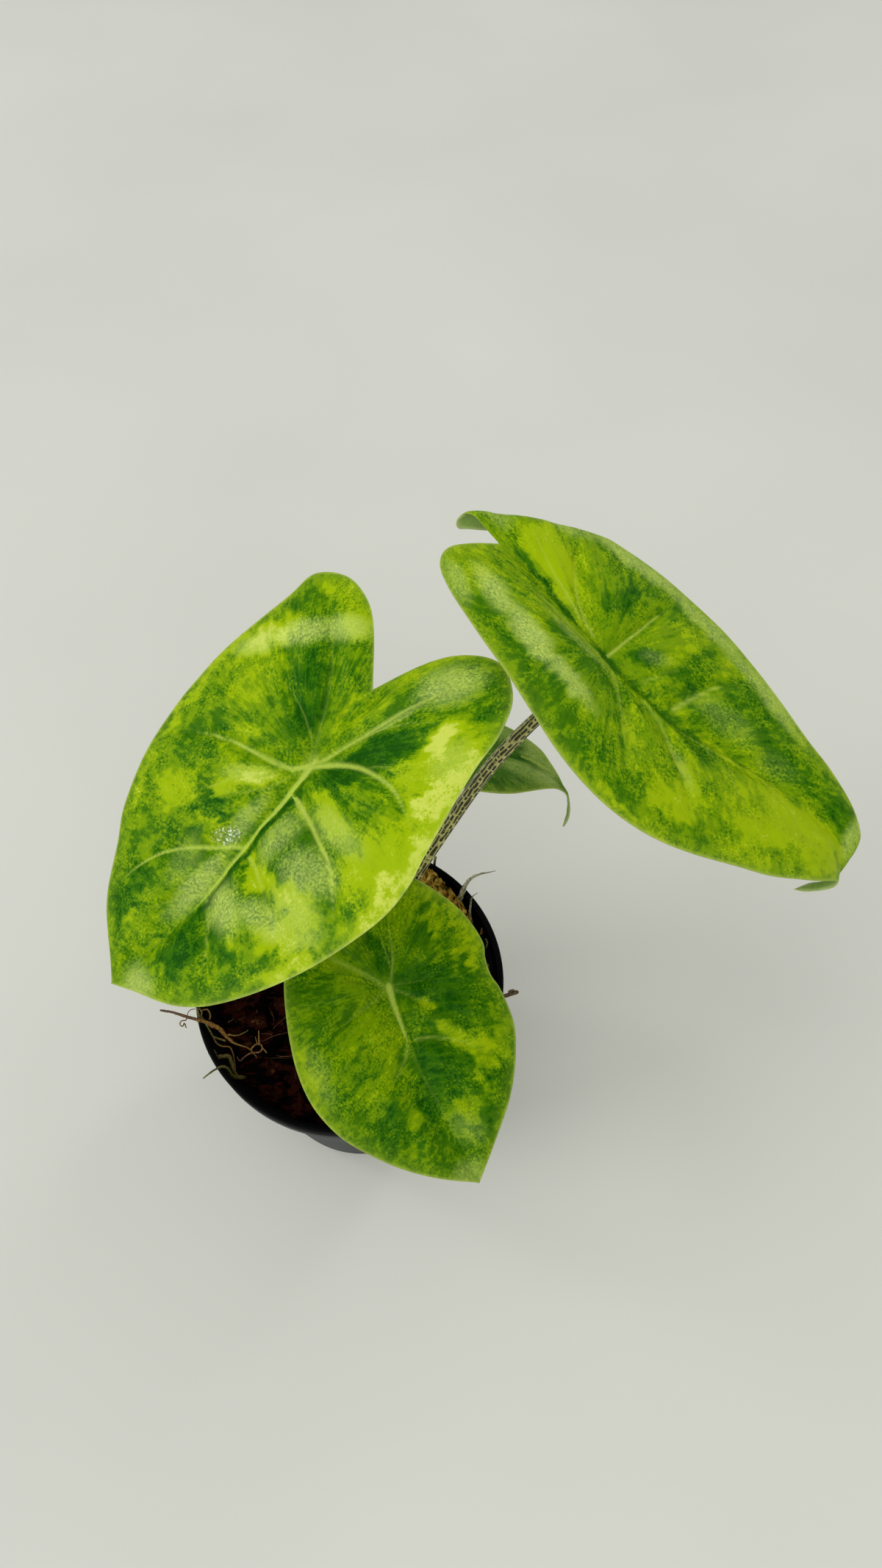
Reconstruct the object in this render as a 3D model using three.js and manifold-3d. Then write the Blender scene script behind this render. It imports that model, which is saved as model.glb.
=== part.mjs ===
// A young alocasia in its nursery pot: bark mix, a short crown and four leaves on long stalks.
// Millimetres, +Z up. The origin is the centre of the pot's underside. +X runs to the right of
// the plant's front and +Y away from it.
import * as THREE from "three";
import { mergeVertices } from "three/addons/utils/BufferGeometryUtils.js";
import Module from "manifold-3d";

const wasm = await Module();
wasm.setup();

// Driving dimensions
const seatGap = 0.3; // between two pieces that touch
const pot = {
  rimRadius: 40,
  height: 70,
  footRadius: 27.6,
  wall: 1,
  floor: 1.3,
  band: 7.5, // height of the wider band under the rim
  bandStep: 2,
  footRound: 1.5,
  drains: 6,
  drainRadius: 3,
  drainRing: 20,
  sides: 48,
};
const mix = { level: 61, roughness: 0.9, rings: 6, sides: 36, chips: 24, chipSize: [9, 5, 3.4] };
const crown = { at: [4, 5.5], bottom: 48, top: 69, bottomRadius: 6.5, bellyRadius: 8.4, topRadius: 6.4 };
const blade = {
  thickness: 0.8,
  crowding: 1.5, // the rings of its mesh crowd to the margin
  valley: 0.8, // half the width over which the two halves turn into each other at the midrib
};
const stalk = { sides: 8, steps: 16, sunk: 8 };
const root = { sides: 6 };

// Each leaf lies in its own plane before it is bent: x along the midrib from the stalk's joint,
// y across it. Angles are in degrees. An arch gives where it starts and its degrees for each
// millimetre. A roll turns everything beyond a line downwards, as far as its turn. A sway is how
// far the drip tip leads the blade's middle aside.
const leaves = {
  left: {
    joint: [-1.7, 6.3, 160],
    heading: 226.5,
    dip: 25,
    roll: 10,
    archFront: [[0, 0]],
    archBack: [[0, 0.26]],
    fold: [10.5, 10],
    droop: 0.36,
    rolls: [],
    tip: [58, -4.5],
    notch: [-19, 0],
    sides: [
      [[55.5, 1], [50, 13], [42, 21.5], [28.5, 30], [14, 35.3], [5.5, 36], [-2, 34.5],
        [-18, 31.3], [-26, 30.3], [-33, 27], [-37, 20], [-35, 12.5], [-29.5, 6.3]],
      [[54.5, -8.5], [47, -17.5], [37.5, -24.3], [31, -29.3], [20, -34], [8.5, -35.6], [0.5, -35.4],
        [-7.5, -34.6], [-23, -31.1], [-30.5, -30], [-34, -23], [-32.5, -15], [-28, -8.5]],
    ],
    veins: [[0, -5, 27], [8, 18, 29], [22, 30, 17], [2, 10, -26], [11, 24, -24], [23, 35, -15],
      [-1, -32, 19], [-1, -29, -22]],
    puff: 0.9,
    mesh: [54, 8],
    stalkRadius: [1.85, 1.2],
    stalkBase: [0.4, 4.9],
    stalkRoute: [[0.5, 5, 85], [-1.8, 6.5, 125]],
  },
  right: {
    joint: [54.7, 21.3, 175],
    heading: -35,
    dip: 25,
    roll: -8,
    archFront: [[0, 0], [54, 2.2]],
    archBack: [[0, 0.34]],
    fold: [10.5, 8],
    droop: 0.69,
    droopBack: 0.0115,
    bow: 0.0008,
    bowBack: 0.004,
    rolls: [
      { at: [63, 0], facing: 3, radius: 1.9, turn: 165 },
      { at: [-25.2, 11.5], facing: 134, radius: 3, turn: 135 },
    ],
    sway: { from: 58, to: 80, aside: -10 },
    tip: [73.6, -7.8],
    notch: [-29.2, 1.8],
    sides: [
      [[70.5, -5.2], [67.4, -2.9], [65.6, -0.4], [65.2, 2.6], [64.8, 5.8], [62.8, 8.9], [58.6, 12],
        [50.5, 15.6], [42.8, 17.7], [33.9, 20.6], [25, 23.3], [16, 25.7], [6.7, 26.7], [-1, 26.8],
        [-9.3, 25.2], [-18, 22.4], [-26.5, 18.4], [-31.5, 14.9], [-35.9, 10.8], [-39.6, 7.5],
        [-41.8, 5], [-41.2, 3.3], [-38.4, 2.75], [-35.5, 2.35]],
      [[70.5, -6.8], [67, -4.6], [64.8, -4.1], [62.8, -4.9], [57, -11], [49.6, -16.8], [42.1, -20.5],
        [33.9, -24.4], [26.4, -26.9], [19, -27.8], [12, -27.3], [4.3, -25.6], [-4.5, -22.5],
        [-13.1, -19.6], [-23.3, -17.1], [-30.4, -15.3], [-34.7, -13], [-35.7, -9.2], [-33.4, -4.4]],
    ],
    veins: [[0, 5, 21], [14, 27, 20], [30, 38, 14], [5, 16, -21], [16, 29, -20], [33, 43, -15],
      [-1, -34, 11], [-1, -31, -10]],
    puff: 0.8,
    mesh: [76, 9],
    stalkRadius: [1.75, 1.05],
    stalkBase: [7.2, 7.4],
    stalkRoute: [[12.1, 8.8, 88], [18, 10.6, 108.2], [25.8, 12.8, 127.7], [33.1, 15, 144.1],
      [40.4, 17.1, 156.1]],
  },
  front: {
    joint: [11.7, -17, 105],
    heading: -64,
    dip: 15,
    roll: -7,
    archFront: [[0, 0.16]],
    archBack: [[0, 0.31]],
    fold: [6, 7],
    droop: 0.48,
    rolls: [],
    tip: [46.5, 1.5],
    notch: [-14, 0],
    sides: [
      [[44, 4.2], [38.5, 10], [33, 15.5], [26.3, 20.2], [19, 23.5], [11, 24], [7, 23.3], [3, 23.8],
        [-1, 25], [-8.5, 23.8], [-15.5, 20.4], [-21.5, 16], [-26, 10], [-21.5, 4]],
      [[42, -6.2], [37, -12.7], [31.3, -18.2], [25, -22.8], [17.3, -25.6], [9.5, -26], [1.5, -24.7],
        [-6.2, -22.5], [-12, -20.2], [-18, -17.5], [-24, -13], [-26, -8.5], [-21.5, -4]],
    ],
    veins: [[0, 7, 18], [13, 24, 17], [0, 3, -18], [15, 25, -16], [-1, -23, 12], [-1, -22, -11]],
    puff: 0.7,
    mesh: [48, 7],
    stalkRadius: [1.7, 1.15],
    stalkBase: [5.3, 1.4],
    stalkRoute: [[6, -1.5, 80], [8.6, -8.5, 94]],
  },
  back: {
    joint: [32.4, 51.3, 98],
    heading: 8,
    dip: 20,
    roll: -9,
    archFront: [[0, 0.8], [26.25, 8.5], [30.25, 2.6]],
    archBack: [[0, 0.4]],
    fold: [6, 7.5],
    droop: 0.74,
    rolls: [],
    sway: { from: 12, to: 28, aside: -6 },
    tip: [43, -6.4],
    notch: [-9.5, 0],
    sides: [
      [[38, -5.6], [31, -5.5], [28.5, -4.4], [27.4, -1.6], [25, 3.7], [23, 7], [18.5, 9.8],
        [12.5, 12.2], [6, 13.4], [-1, 13.4], [-9, 12.4], [-15, 10], [-16.5, 6.5], [-13, 2.6]],
      [[38, -7.2], [31, -7.1], [27, -6.9], [23.9, -7.4], [18.7, -9.5], [13.1, -11.9], [8.2, -13.7],
        [3.7, -14.5], [-1.8, -14.4], [-9, -13.2], [-15, -11], [-16.5, -7], [-13, -2.8]],
    ],
    veins: [[0, 4, 10], [9, 16, 9], [1, 6, -11], [10, 17, -9], [-1, -13, 8], [-1, -13, -8]],
    puff: 0.5,
    mesh: [48, 6],
    stalkRadius: [1.35, 0.95],
    stalkBase: [3.6, 9.6],
    stalkRoute: [[8, 17.5, 77], [18, 33, 88]],
  },
};

// Roots that show: points along each, then its thickness at both ends.
const roots = {
  roots_left: [
    [[-38.6, -12.3, 73], [-36.4, -12.5, 71.9], [-32.4, -13.7, 68.4], [-28, -15.7, 65],
      [-25.3, -17.1, 63.2], [-22.6, -19.2, 59]],
    [[-47.4, -9.9, 73], [-42.8, -11.4, 73.4], [-38.8, -12.3, 73], [-36.4, -12.5, 71.9]],
    [[-41.6, -13, 72.6], [-40.6, -11.4, 73.2], [-39, -9.6, 72.9], [-37.6, -9.9, 72.6],
      [-37.2, -12.4, 72.4]],
    [[-34.6, -12.9, 70.3], [-30.8, -12.9, 67.6], [-27, -12.4, 65.6], [-24, -12.2, 60]],
    [[-32.4, -13.7, 68.4], [-33.4, -15.2, 66.6], [-32.2, -17.8, 65.6], [-30.4, -19.7, 64.4],
      [-27.2, -20.8, 59.5]],
  ],
  roots_left_low: [
    [[-34.6, -27.8, 73], [-32.9, -26.3, 73.1], [-31.4, -24.9, 72.4], [-29.8, -23.5, 71],
      [-28.4, -22.9, 67.6], [-27.2, -22.6, 64], [-25.2, -22.4, 58.5]],
  ],
  roots_right: [
    [[38.5, 27.2, 77.5], [35.5, 26.8, 77], [33.4, 26.6, 76.4], [31.4, 26, 75.2], [30, 24.4, 73.6],
      [28.9, 22.9, 70.6], [27.4, 21.6, 65], [26.5, 20.8, 58]],
    [[33.5, 21.6, 76], [31.9, 20.6, 75], [31.2, 18.8, 73], [30.9, 18, 70], [29.2, 18.6, 65.2],
      [27.2, 20.4, 61]],
  ],
  root_stub_right: [
    [[43.4, -5.4, 73.3], [41.5, -5.8, 73.3], [39.8, -6.5, 72.8], [38, -6.5, 71.9], [36.2, -6, 69.4],
      [34.4, -5.2, 65], [33, -4.6, 59.5]],
  ],
};
const rootWidth = {
  roots_left: [1.4, 0.9, 0.8, 0.8, 0.9],
  roots_left_low: [0.9],
  roots_right: [1.3, 1.2],
  root_stub_right: [1.2],
};

// Tan sphagnum on the mix, each lump as centre and half sizes.
const mossLumps = [
  { at: [17.5, 29, 61.5], size: [7, 5.5, 4.5] },
  { at: [23.5, 25, 61.5], size: [6, 5.5, 5] },
  { at: [28.4, 19, 60.5], size: [4.4, 5, 4.4] },
];

const radians = THREE.MathUtils.degToRad;

// Solids and meshes

// A closed geometry with its shared corners merged, as a solid that can be joined and cut.
function solidOf(geometry) {
  const plain = geometry.clone();
  for (const name of Object.keys(plain.attributes)) {
    if (name !== "position") plain.deleteAttribute(name);
  }
  const merged = mergeVertices(plain, 1e-4);
  return new wasm.Manifold(
    new wasm.Mesh({
      numProp: 3,
      vertProperties: new Float32Array(merged.attributes.position.array),
      triVerts: new Uint32Array(merged.index.array),
    }),
  );
}

function geometryOf(solid) {
  const mesh = solid.getMesh();
  const geometry = new THREE.BufferGeometry();
  geometry.setAttribute("position", new THREE.BufferAttribute(new Float32Array(mesh.vertProperties), 3));
  geometry.setIndex(new THREE.BufferAttribute(new Uint32Array(mesh.triVerts), 1));
  geometry.computeVertexNormals();
  return geometry;
}

function solidFrom(points, faces) {
  const geometry = new THREE.BufferGeometry();
  const places = points.flatMap((p) => p.toArray());
  geometry.setAttribute("position", new THREE.Float32BufferAttribute(places, 3));
  geometry.setIndex(faces);
  return solidOf(geometry);
}

function joined(solids) {
  return solids.reduce((whole, next) => whole.add(next));
}

// The biggest body of a cut solid, without the scraps that a cut leaves.
function withoutScraps(solid) {
  return solid.decompose().reduce((a, b) => (a.volume() > b.volume() ? a : b));
}

function piece(name, solid, color, roughness) {
  const material = new THREE.MeshStandardMaterial({ color, roughness, metalness: 0 });
  const mesh = new THREE.Mesh(geometryOf(solid), material);
  mesh.name = name;
  return mesh;
}

// The same numbers on every run.
function seededRandom(seed) {
  let state = seed;
  return () => {
    state = (state * 1664525 + 1013904223) % 4294967296;
    return state / 4294967296;
  };
}

// Shapes that several pieces use

// A profile of radius and height turned about the vertical axis.
function turned(profile, sides) {
  const points = profile.map(([radius, height]) => new THREE.Vector2(radius, height));
  return new THREE.LatheGeometry(points, sides).rotateX(Math.PI / 2);
}

// A round stalk or root along a smooth curve, its radius easing from the first to the last.
function rod(route, [firstRadius, lastRadius], sides, steps) {
  const curve = new THREE.CatmullRomCurve3(route.map((p) => new THREE.Vector3(...p)));
  const frames = curve.computeFrenetFrames(steps, false);
  const points = [];
  const faces = [];
  for (let i = 0; i <= steps; i++) {
    const centre = curve.getPointAt(i / steps);
    const radius = THREE.MathUtils.lerp(firstRadius, lastRadius, i / steps);
    for (let j = 0; j < sides; j++) {
      const turn = (2 * Math.PI * j) / sides;
      const across = frames.normals[i].clone().multiplyScalar(radius * Math.cos(turn));
      across.addScaledVector(frames.binormals[i], radius * Math.sin(turn));
      points.push(centre.clone().add(across));
    }
  }
  const firstCap = points.push(curve.getPointAt(0)) - 1;
  const lastCap = points.push(curve.getPointAt(1)) - 1;
  const lastRing = steps * sides;
  for (let j = 0; j < sides; j++) {
    const next = (j + 1) % sides;
    for (let i = 0; i < steps; i++) {
      const here = i * sides;
      faces.push(here + j, here + next, here + sides + next);
      faces.push(here + j, here + sides + next, here + sides + j);
    }
    faces.push(firstCap, next, j);
    faces.push(lastCap, lastRing + j, lastRing + next);
  }
  return solidFrom(points, faces);
}

// Leaf blades

// How far a strip runs along and up, if its slope starts at angle and eases by bend each millimetre.
function arcRun(length, angle, bend) {
  if (Math.abs(bend) < 1e-7) return [length * Math.cos(angle), length * Math.sin(angle)];
  const end = angle - bend * length;
  return [(Math.sin(angle) - Math.sin(end)) / bend, (Math.cos(end) - Math.cos(angle)) / bend];
}

// The midrib's run, rise and slope at x, one arch after another.
function midribAt(leaf, x) {
  const reach = Math.abs(x);
  const way = x < 0 ? -1 : 1;
  let [run, rise, slope] = [0, 0, 0];
  (x < 0 ? leaf.archBack : leaf.archFront).forEach(([from, arch], index, arches) => {
    const to = Math.min(reach, arches[index + 1]?.[0] ?? Infinity);
    if (to <= from) return;
    const [out, up] = arcRun(to - from, slope, radians(arch));
    run += out;
    rise += up;
    slope -= radians(arch) * (to - from);
  });
  return { run: way * run, rise, slope: way * slope };
}

// Where the rolls carry a point of the flat blade.
function rolled(leaf, x, y, height) {
  for (const { at, facing, radius, turn } of leaf.rolls) {
    const [acrossX, acrossY] = [Math.cos(radians(facing)), Math.sin(radians(facing))];
    const beyond = (x - at[0]) * acrossX + (y - at[1]) * acrossY;
    if (beyond <= 0) continue;
    const angle = Math.min(beyond / radius, radians(turn));
    const rest = beyond - radius * angle;
    const out = (radius + height) * Math.sin(angle) + rest * Math.cos(angle);
    x += (out - beyond) * acrossX;
    y += (out - beyond) * acrossY;
    height = (radius + height) * Math.cos(angle) - radius - rest * Math.sin(angle);
  }
  return [x, y, height];
}

// A point of the bent blade, height above its middle layer, before the leaf is turned into place.
function bent(leaf, flatX, flatY, flatHeight) {
  const [x, y, height] = rolled(leaf, flatX, flatY, flatHeight);
  const midrib = midribAt(leaf, x);
  const side = y < 0 ? -1 : 1;
  const fold = radians(leaf.fold[y < 0 ? 1 : 0]);
  const droop = radians(leaf.droop - (leaf.droopBack ?? 0) * x);
  const across = Math.hypot(y, blade.valley);
  const beyondValley = across - blade.valley;
  const slope = ((fold - droop * beyondValley) * Math.abs(y)) / across;
  const [out] = arcRun(Math.abs(y), fold, droop);
  const [, up] = arcRun(beyondValley, fold, droop);
  const rise = up + height * Math.cos(slope);
  const bow = (x < 0 ? leaf.bowBack : leaf.bow) ?? 0;
  return new THREE.Vector3(
    midrib.run - rise * Math.sin(midrib.slope),
    side * (out - height * Math.sin(slope)) + bow * x * x,
    midrib.rise + rise * Math.cos(midrib.slope),
  );
}

function placement(leaf) {
  const turn = new THREE.Matrix4().makeRotationZ(radians(leaf.heading));
  turn.multiply(new THREE.Matrix4().makeRotationY(radians(leaf.dip)));
  turn.multiply(new THREE.Matrix4().makeRotationX(radians(leaf.roll)));
  return turn.setPosition(...leaf.joint);
}

// Points round the margin from the tip, by way of the notch, back to the tip.
function margin(leaf, count) {
  const side = (points) => {
    const whole = [leaf.tip, ...points, leaf.notch].map((p) => new THREE.Vector2(...p));
    return new THREE.SplineCurve(whole).getSpacedPoints(count / 2);
  };
  const [first, second] = leaf.sides.map(side);
  return [...first.slice(0, -1), ...second.reverse().slice(0, -1)];
}

// The veins as short flat lines: each lateral leaves the midrib and leans towards the margin.
function veinLines(leaf) {
  const lines = [[[0, 0], leaf.tip]];
  for (const [start, end, reach] of leaf.veins) {
    const middle = [start + (end - start) * 0.35, reach * 0.5];
    lines.push([[start, 0], middle], [middle, [end, reach]]);
  }
  return lines;
}

function distanceTo([[ax, ay], [bx, by]], x, y) {
  const length = (bx - ax) ** 2 + (by - ay) ** 2;
  const along = THREE.MathUtils.clamp(((x - ax) * (bx - ax) + (y - ay) * (by - ay)) / length, 0, 1);
  return Math.hypot(x - ax - along * (bx - ax), y - ay - along * (by - ay));
}

// The blade stands a little proud between its veins and is level again at the margin.
function relief(leaf, lines, x, y, share) {
  const veinSpread = 5;
  const nearest = Math.min(...lines.map((line) => distanceTo(line, x, y)));
  return leaf.puff * (1 - Math.exp(-((nearest / veinSpread) ** 2))) * (1 - share ** 4);
}

function swayAt(leaf, x) {
  if (!leaf.sway) return 0;
  return leaf.sway.aside * THREE.MathUtils.smoothstep(x, leaf.sway.from, leaf.sway.to);
}

function bladeSolid(leaf, thickness) {
  const [spokes, rings] = leaf.mesh;
  const edge = margin(leaf, spokes);
  const lines = veinLines(leaf);
  const place = placement(leaf);
  const faceSize = 1 + spokes * rings;
  const points = [];
  for (const height of [thickness / 2, -thickness / 2]) {
    points.push(bent(leaf, 0, 0, height).applyMatrix4(place));
    for (let ring = 1; ring <= rings; ring++) {
      const share = 1 - (1 - ring / rings) ** blade.crowding;
      for (const corner of edge) {
        const x = corner.x * share;
        const y = (corner.y - swayAt(leaf, corner.x)) * share + swayAt(leaf, x);
        points.push(bent(leaf, x, y, height + relief(leaf, lines, x, y, share)).applyMatrix4(place));
      }
    }
  }
  const faces = [];
  const both = (a, b, c) => {
    faces.push(a, b, c);
    faces.push(faceSize + a, faceSize + c, faceSize + b);
  };
  const lastRing = 1 + (rings - 1) * spokes;
  for (let i = 0; i < spokes; i++) {
    const next = (i + 1) % spokes;
    both(0, 1 + i, 1 + next);
    for (let ring = 0; ring < rings - 1; ring++) {
      const inner = 1 + ring * spokes;
      const outer = inner + spokes;
      both(inner + i, outer + i, outer + next);
      both(inner + i, outer + next, inner + next);
    }
    faces.push(faceSize + lastRing + i, faceSize + lastRing + next, lastRing + next);
    faces.push(faceSize + lastRing + i, lastRing + next, lastRing + i);
  }
  return solidFrom(points, faces);
}

// Stalks stand in the crown and end just under their blades.
function stalkRoute(leaf) {
  const [x, y] = leaf.stalkBase;
  return [[x, y, crown.top - stalk.sunk], [x, y, crown.top], ...leaf.stalkRoute, leaf.joint];
}

function stalkSolid(leaf, grownBy) {
  const [foot, head] = leaf.stalkRadius;
  return rod(stalkRoute(leaf), [foot + grownBy, head + grownBy], stalk.sides, stalk.steps);
}

// Pot

function potSolid() {
  const { rimRadius, height, footRadius, wall, floor, band, bandStep, footRound } = pot;
  const bandFoot = height - band;
  const wallTop = rimRadius - bandStep;
  const lip = 0.5;
  const profile = [
    [0, 0],
    [footRadius - footRound, 0],
    [footRadius, footRound],
    [wallTop - 0.4, bandFoot - 1],
    [rimRadius - 0.5, bandFoot],
    [rimRadius, height - lip],
    [rimRadius - lip, height],
    [rimRadius - wall, height],
    [rimRadius - wall - lip, height - lip],
    [rimRadius - wall - 0.8, bandFoot + wall],
    [wallTop - wall - 0.6, bandFoot - 0.4],
    [footRadius - wall, floor + footRound],
    [footRadius - wall - footRound, floor],
    [0, floor],
  ];
  let body = solidOf(turned(profile, pot.sides));
  for (let i = 0; i < pot.drains; i++) {
    const turn = (2 * Math.PI * i) / pot.drains;
    const hole = new THREE.CylinderGeometry(pot.drainRadius, pot.drainRadius, 4 * floor, 16);
    hole.rotateX(Math.PI / 2);
    hole.translate(pot.drainRing * Math.cos(turn), pot.drainRing * Math.sin(turn), floor / 2);
    body = body.subtract(solidOf(hole));
  }
  return body;
}

// The room inside the pot, less a gap at the wall and floor.
function roomSolid(gap) {
  const { rimRadius, height, footRadius, wall, floor, band, bandStep, footRound } = pot;
  const bandFoot = height - band;
  const profile = [
    [0, floor + gap],
    [footRadius - wall - footRound - gap, floor + gap],
    [footRadius - wall - gap, floor + footRound + gap],
    [rimRadius - bandStep - wall - 0.6 - gap, bandFoot - 0.4],
    [rimRadius - wall - 0.8 - gap, bandFoot + wall + gap],
    [rimRadius - wall - 0.6 - gap, height + 10],
    [0, height + 10],
  ];
  return solidOf(turned(profile, pot.sides));
}

// Bark mix: a plug that fills the pot, with rough ground and chips on top.

function ground(x, y) {
  const waves = Math.sin(0.55 * x + 1.3) * Math.cos(0.47 * y) + 0.7 * Math.sin(0.9 * x - 1.1 * y);
  return mix.roughness * waves;
}

function mixSolid() {
  const reach = pot.rimRadius;
  const profile = [[0, 0], [reach, 0]];
  for (let ring = mix.rings; ring >= 0; ring--) profile.push([(reach * ring) / mix.rings, mix.level]);
  const plug = turned(profile, mix.sides);
  const place = plug.attributes.position;
  for (let i = 0; i < place.count; i++) {
    if (place.getZ(i) > 1) place.setZ(i, mix.level + ground(place.getX(i), place.getY(i)));
  }
  return joined([solidOf(plug), ...chipSolids()]).intersect(roomSolid(seatGap));
}

function chipSolids() {
  const random = seededRandom(7);
  const chips = [];
  for (let i = 0; i < mix.chips; i++) {
    const [length, width, thickness] = mix.chipSize.map((size) => size * (0.6 + 0.7 * random()));
    const radius = 3 + 27 * Math.sqrt(random());
    const turn = 2 * Math.PI * random();
    const x = radius * Math.cos(turn);
    const y = radius * Math.sin(turn);
    const chip = new THREE.BoxGeometry(length, width, thickness);
    chip.rotateX(0.5 * (random() - 0.5));
    chip.rotateY(0.6 * (random() - 0.5));
    chip.rotateZ(Math.PI * random());
    chip.translate(x, y, mix.level + ground(x, y) + 0.1 * thickness);
    chips.push(solidOf(chip));
  }
  return chips;
}

function mossSolid(grownBy) {
  return joined(
    mossLumps.map(({ at, size }, index) => {
      const lump = new THREE.SphereGeometry(1, 14, 9).rotateX(Math.PI / 2);
      const place = lump.attributes.position;
      for (let i = 0; i < place.count; i++) {
        const [x, y, z] = [place.getX(i), place.getY(i), place.getZ(i)];
        const broad = 0.09 * Math.sin(5 * x + 2 * index) * Math.cos(4 * y);
        const tuft = 1 + broad + 0.06 * Math.sin(7 * z + 3 * y);
        place.setXYZ(i, x * tuft, y * tuft, z * tuft);
      }
      lump.scale(...size.map((half) => half + grownBy));
      lump.translate(...at);
      return solidOf(lump);
    }),
  );
}

function rootSolid(name, grownBy) {
  return joined(
    roots[name].map((route, index) => {
      const radius = rootWidth[name][index] / 2;
      const steps = 3 * route.length;
      return rod(route, [0.6 * radius + grownBy, radius + grownBy], root.sides, steps);
    }),
  );
}

// The short stem at the base of the stalks, with a plain hole for each stalk.
function crownSolid(grownBy) {
  const { at, bottom, top, bottomRadius, bellyRadius, topRadius } = crown;
  const profile = [
    [0, bottom - grownBy],
    [bottomRadius + grownBy, bottom - grownBy],
    [bellyRadius + grownBy, bottom + 6],
    [bellyRadius + grownBy, mix.level],
    [topRadius + grownBy, top - 1],
    [topRadius - 1 + grownBy, top + grownBy],
    [0, top + grownBy],
  ];
  return solidOf(turned(profile, 24).translate(at[0], at[1], 0));
}

// The plant in its pot

const plant = new THREE.Group();
plant.name = "potted_alocasia";

plant.add(piece("pot", potSolid(), 0x16171a, 0.45));

let crownBody = crownSolid(0);
for (const leaf of Object.values(leaves)) crownBody = crownBody.subtract(stalkSolid(leaf, seatGap));
plant.add(piece("crown", withoutScraps(crownBody), 0x8a7a4e, 0.7));

const moss = mossSolid(0).intersect(roomSolid(seatGap)).subtract(rootSolid("roots_right", seatGap));
plant.add(piece("moss_clump", withoutScraps(moss), 0xa8753c, 0.9));

let mixBody = mixSolid().subtract(crownSolid(seatGap)).subtract(mossSolid(seatGap));
for (const name of Object.keys(roots)) mixBody = mixBody.subtract(rootSolid(name, seatGap));
plant.add(piece("potting_mix", withoutScraps(mixBody), 0x2a1a12, 0.95));

const rootColors = {
  roots_left: 0xa9733c,
  roots_left_low: 0x9a6a3a,
  roots_right: 0xd8cfae,
  root_stub_right: 0x5a4430,
};
for (const [name, color] of Object.entries(rootColors)) {
  plant.add(piece(name, rootSolid(name, 0), color, 0.8));
}

const bladeColors = { left: 0x7fae1a, right: 0x76a80f, front: 0x5f9a10, back: 0x5f8a3c };
for (const [name, leaf] of Object.entries(leaves)) {
  const clearance = bladeSolid(leaf, blade.thickness + 2 * seatGap);
  const stalkBody = withoutScraps(stalkSolid(leaf, 0).subtract(clearance));
  plant.add(piece("stalk_" + name, stalkBody, 0x9aa06a, 0.6));
  plant.add(piece("blade_" + name, bladeSolid(leaf, blade.thickness), bladeColors[name], 0.4));
}

export default plant;
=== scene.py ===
import math
import random

import bpy
import numpy as np
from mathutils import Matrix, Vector, noise


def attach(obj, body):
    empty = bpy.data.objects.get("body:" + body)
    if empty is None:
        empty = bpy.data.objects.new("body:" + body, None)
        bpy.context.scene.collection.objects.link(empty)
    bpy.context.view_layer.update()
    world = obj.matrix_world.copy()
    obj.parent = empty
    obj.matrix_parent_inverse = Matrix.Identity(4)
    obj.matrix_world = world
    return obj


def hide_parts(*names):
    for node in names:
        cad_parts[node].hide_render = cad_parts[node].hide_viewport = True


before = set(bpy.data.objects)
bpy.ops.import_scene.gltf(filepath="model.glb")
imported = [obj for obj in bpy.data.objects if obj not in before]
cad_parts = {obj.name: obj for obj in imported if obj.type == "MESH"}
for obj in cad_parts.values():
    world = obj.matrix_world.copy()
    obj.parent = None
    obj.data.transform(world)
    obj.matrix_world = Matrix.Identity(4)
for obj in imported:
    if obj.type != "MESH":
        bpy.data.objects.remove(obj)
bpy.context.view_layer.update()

mm = 0.001
print("frame loaded:", len(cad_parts), "nodes")


# Shader values

def srgb(red, green, blue):  # 0 to 255, to a linear colour
    parts = [part / 255 for part in (red, green, blue)]
    return (*[part / 12.92 if part <= 0.04045 else ((part + 0.055) / 1.055) ** 2.4 for part in parts], 1)


class Wire:
    # one output of a shader node, that sums and products can be written with
    def __init__(self, tree, socket=None):
        self.tree = tree
        self.socket = socket

    def node(self, kind, settings=None, inputs=None, output=0):
        made = self.tree.nodes.new(kind)
        for name, value in (settings or {}).items():
            if name == "stops":
                fillRamp(made.color_ramp, value)
            else:
                setattr(made, name, value)
        for name, value in (inputs or {}).items():
            if isinstance(value, Wire):
                self.tree.links.new(value.socket, made.inputs[name])
            else:
                made.inputs[name].default_value = value
        return Wire(self.tree, made.outputs[output])

    def maths(self, operation, *values):
        return self.node("ShaderNodeMath", {"operation": operation}, dict(enumerate(values)))

    def __add__(self, other):
        return self.maths("ADD", self, other)

    def __sub__(self, other):
        return self.maths("SUBTRACT", self, other)

    def __rsub__(self, other):
        return self.maths("SUBTRACT", other, self)

    def __mul__(self, other):
        return self.maths("MULTIPLY", self, other)

    __radd__ = __add__
    __rmul__ = __mul__

    def rise(self, low, high):  # 0 at low, 1 at high, eased between
        eased = {"interpolation_type": "SMOOTHSTEP"}
        return self.node("ShaderNodeMapRange", eased, {"Value": self, "From Min": low, "From Max": high})

    def stretched(self, x, y, z=1):
        return self.node("ShaderNodeVectorMath", {"operation": "MULTIPLY"}, {0: self, 1: (x, y, z)})

    def noise(self, scale, detail=2, roughness=0.5):
        return self.node("ShaderNodeTexNoise", None,
                         {"Vector": self, "Scale": scale, "Detail": detail, "Roughness": roughness})

    def layered(self, levels):  # gathered towards a few levels, as in tissue that lies in layers
        turn = 2 * math.pi * levels
        return self - self.maths("SINE", self * turn) * (0.8 / turn)

    def ramp(self, stops):
        return self.node("ShaderNodeValToRGB", {"stops": stops}, {"Fac": self})

    def blend(self, other, factor):  # this colour, and the other where factor is 1
        return self.node("ShaderNodeMix", {"data_type": "RGBA"}, {0: factor, 6: self, 7: other}, 2)


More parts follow.
